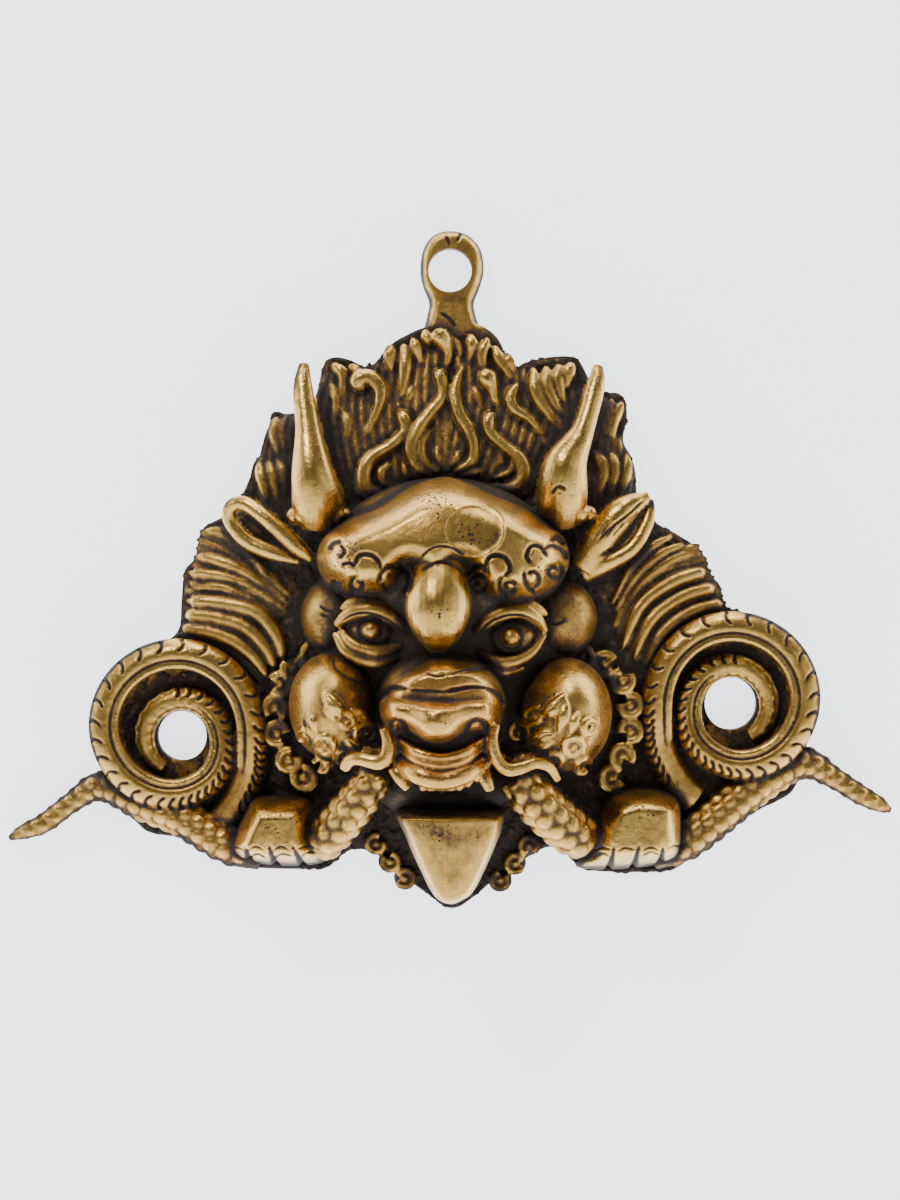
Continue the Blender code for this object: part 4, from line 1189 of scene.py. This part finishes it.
# Where the metal is painted darker: shade under the brows, round the eyes, under the snout and over the
# tongue below the mouth, and heavier tarnish on the sides of the face, the necks and the paws. Middle and
# radius in pixels, and how much of the shine is taken away.
shade_and_tarnish_places = [(371, 634, 36, 0.26), (510, 641, 36, 0.26), (322, 622, 26, 0.28), (572, 618, 30, 0.24),
    (398, 655, 26, 0.2), (482, 655, 22, 0.2), (412, 820, 20, 0.42), (445, 818, 20, 0.42),
    (482, 820, 20, 0.42), (366, 790, 20, 0.2), (524, 792, 20, 0.2), (405, 668, 14, 0.15),
    (438, 655, 12, 0.2), (300, 575, 24, 0.2), (600, 640, 22, 0.2), (345, 600, 20, 0.12),
    (565, 598, 18, 0.12), (350, 808, 28, 0.2), (545, 812, 30, 0.22), (330, 836, 24, 0.2),
    (575, 838, 24, 0.2), (274, 806, 30, 0.12), (645, 800, 32, 0.12), (440, 900, 22, 0.1)]
for piece in PIECES:
    co, normals = points_of(piece.data), points_of(piece.data, "normal")
    spots = pixels_of(co)
    fine, middling, broad = [sampled(values, co) for values in stands]
    # How deep a point lies behind the metal in front of it, used to paint shade under the forms.
    shade_under_forms = np.maximum(0, sampled(heights, co) + co[:, 1] * 1000 - 0.8)
    grooves = np.zeros(len(co))
    for line, width in chased.get(piece.name, []):
        grooves = np.maximum(grooves, nearness(spots, line, width * 0.8))
    rubbed = 0.53 + 0.7 * np.clip(fine, -0.6, 0.4) + 0.14 * np.clip(middling, -2,
        1.6) + 0.018 * np.clip(broad, -8, 7)
    # Less shine in the chased grooves, where the patina stays, on steep sides, and, as painted shade,
    # under other metal.
    rubbed -= 0.75 * grooves + 0.2 * np.clip(shade_under_forms, 0, 1.5) + 0.11 * np.clip(sampled(steep, co) - 1.4, 0,
        2.5)
    # Faces turned towards the wall are painted darker, as shade.
    rubbed -= 0.35 * np.clip(normals[:, 1] + 0.1, 0, 1)
    # Painted shade under the brows, the snout and the mouth, and heavier tarnish, at the listed places.
    for px, py, radius, amount in shade_and_tarnish_places:
        rubbed -= amount * np.exp(-(((spots - (px, py)) ** 2).sum(axis=1)) / radius**2)
    pitting = np.zeros(len(co))
    for px, py, radius in pitted_places:
        pitting = np.maximum(pitting, np.exp(-(((spots - (px, py)) ** 2).sum(axis=1)) / radius**2))
    for name, values in (("rubbed", np.clip(rubbed, 0, 1)), ("pitting", pitting)):
        piece.data.attributes.new(name, "FLOAT", "POINT").data.foreach_set("value", values)

brass.use_nodes = True
nodes, links = brass.node_tree.nodes, brass.node_tree.links
shader = nodes["Principled BSDF"]
place = nodes.new("ShaderNodeTexCoord").outputs["Object"]


def noise(scale, detail, rough=0.55):
    """A cloudy pattern fixed to the metal; scale is in waves to a metre."""
    node = nodes.new("ShaderNodeTexNoise")
    node.inputs["Scale"].default_value = scale
    node.inputs["Detail"].default_value = detail
    node.inputs["Roughness"].default_value = rough
    links.new(place, node.inputs["Vector"])
    return node.outputs["Fac"]


def reckon(operation, first, second, third=None):
    """A Math node on numbers or on other nodes."""
    node = nodes.new("ShaderNodeMath")
    node.operation = operation
    for socket, value in zip(node.inputs, (first, second, third)):
        if isinstance(value, (int, float)):
            socket.default_value = value
        elif value is not None:
            links.new(value, socket)
    return node.outputs["Value"]


def ramp(value, stops):
    """A value turned into a grey or a colour by stops."""
    node = nodes.new("ShaderNodeValToRGB")
    for _ in range(len(stops) - 2):
        node.color_ramp.elements.new(0.5)
    for element, (position, color) in zip(node.color_ramp.elements, stops):
        element.position = position
        element.color = (*color, 1) if isinstance(color, tuple) else (color, color, color, 1)
    links.new(value, node.inputs["Fac"])
    return node.outputs["Color"]


def attribute(name):
    """A value that each point of the mesh holds."""
    node = nodes.new("ShaderNodeAttribute")
    node.attribute_name = name
    return node.outputs["Fac"]


# The shine of each point with its painted shade, broken up by speckle, cloud and pits; it sets the colour,
# metal and roughness.
wear_and_shade = attribute("rubbed")
speckle, cloud, veil = noise(1500, 3), noise(260, 4, 0.6), noise(45, 3)
wear_and_shade = reckon("MULTIPLY_ADD", reckon("SUBTRACT", speckle, 0.5), 0.45, wear_and_shade)
wear_and_shade = reckon("MULTIPLY_ADD", reckon("SUBTRACT", cloud, 0.5), 0.75, wear_and_shade)
wear_and_shade = reckon("MULTIPLY_ADD", reckon("SUBTRACT", veil, 0.5), 0.35, wear_and_shade)
pits = nodes.new("ShaderNodeTexVoronoi")
pits.inputs["Scale"].default_value = 620
links.new(place, pits.inputs["Vector"])
pit_width = reckon("MULTIPLY", reckon("MULTIPLY", attribute("pitting"), noise(140, 2)), 0.62)
pit = reckon("LESS_THAN", pits.outputs["Distance"], pit_width)
wear_and_shade = reckon("MULTIPLY_ADD", pit, -0.6, wear_and_shade)
color = ramp(wear_and_shade, [(0.06, (0.024, 0.016, 0.011)), (0.24, (0.068, 0.042, 0.024)),
    (0.40, (0.145, 0.090, 0.038)), (0.54, (0.36, 0.225, 0.060)), (0.78, (0.60, 0.385, 0.095)),
    (1.0, (0.76, 0.52, 0.14))])
warm = nodes.new("ShaderNodeMix")
warm.data_type = "RGBA"
warm.blend_type = "MULTIPLY"
warm.inputs["B"].default_value = (1.0, 0.80, 0.78, 1)
# The nose and the lips are rosier than the rest.
far = nodes.new("ShaderNodeVectorMath")
far.operation = "DISTANCE"
far.inputs[1].default_value = (-0.003, -0.056, -0.137)
links.new(place, far.inputs[0])
rosy = ramp(reckon("MULTIPLY", far.outputs["Value"], 20), [(0.3, 0.95), (0.62, 0.0)])
links.new(reckon("MAXIMUM", reckon("MULTIPLY", noise(22, 2), 0.8), rosy), warm.inputs["Factor"])
links.new(color, warm.inputs["A"])
links.new(warm.outputs["Result"], shader.inputs["Base Color"])
links.new(ramp(wear_and_shade, [(0.18, 0.25), (0.5, 1.0)]), shader.inputs["Metallic"])
links.new(reckon("ADD", ramp(wear_and_shade, [(0.15, 0.72), (0.5, 0.46), (0.95, 0.27)]),
    reckon("MULTIPLY", reckon("SUBTRACT", cloud, 0.5), 0.18)), shader.inputs["Roughness"])
bump = nodes.new("ShaderNodeBump")
bump.inputs["Strength"].default_value = 0.55
bump.inputs["Distance"].default_value = 0.0003
surface = reckon("MULTIPLY_ADD", noise(420, 4, 0.6), 0.9, reckon("MULTIPLY", speckle, 0.25))
surface = reckon("MULTIPLY_ADD", reckon("MULTIPLY", noise(190, 3), reckon("SUBTRACT", 1, wear_and_shade)), 2.6,
    surface)
links.new(reckon("MULTIPLY_ADD", pit, -0.8, surface), bump.inputs["Height"])
links.new(bump.outputs["Normal"], shader.inputs["Normal"])
for piece in PIECES:
    piece.data.materials.clear()
    piece.data.materials.append(brass)

# Room: a pale wall behind the mask and a pale floor, as in a photographer's tent, with soft light
# from all round.


def paint(name, shade, rough, glow):
    """A plain matt material that gives a little light of its own."""
    made = bpy.data.materials.new(name)
    made.use_nodes = True
    inputs = made.node_tree.nodes["Principled BSDF"].inputs
    inputs["Base Color"].default_value = (*shade, 1)
    inputs["Roughness"].default_value = rough
    inputs["Emission Color"].default_value = (0.93, 0.96, 1, 1)
    inputs["Emission Strength"].default_value = glow
    return made


for name, middle, size, glow in (("wall", (0, 0.012, 0), (4, 0.02, 3), 2.3),
        ("floor", (0, -1, -0.45), (4, 2.1, 0.02), 0.2)):
    mesh = bmesh.new()
    bmesh.ops.create_cube(mesh, size=1, matrix=Matrix.Translation(middle) @ Matrix.Diagonal((*size, 1)))
    data = bpy.data.meshes.new(name)
    mesh.to_mesh(data)
    mesh.free()
    data.materials.append(paint(name, (0.93, 0.935, 0.945), 0.9, glow))
    sheet = placed(name, data)
lights = (("key", (-0.45, -0.8, 0.8), 6.5, 0.32, (1, 0.97, 0.93)),
    ("fill", (1.0, -1.0, 0.2), 1.2, 0.7, (0.95, 0.97, 1)),
    ("top", (0.1, -0.3, 1.0), 3.6, 0.4, (1, 1, 1)),
    ("left", (-1.5, -0.35, 0.3), 4, 0.8, (0.97, 0.98, 1)),
    ("right", (1.5, -0.35, -0.1), 3, 0.8, (0.95, 0.97, 1)),
    ("low", (-0.1, -0.5, -1.1), 0.5, 0.6, (1, 0.98, 0.96)))
for name, stand, power, width, tint in lights:
    light = bpy.data.lights.new(name, "AREA")
    light.energy = power
    light.size = width
    light.color = tint
    lamp = placed(name, light)
    lamp.location = stand
    lamp.rotation_euler = (Vector((0, 0, -0.1)) - lamp.location).to_track_quat("-Z", "Y").to_euler()
world = bpy.data.worlds.new("studio")
bpy.context.scene.world = world
world.use_nodes = True
world.node_tree.nodes["Background"].inputs["Color"].default_value = (0.92, 0.95, 1.0, 1)
world.node_tree.nodes["Background"].inputs["Strength"].default_value = 0.1
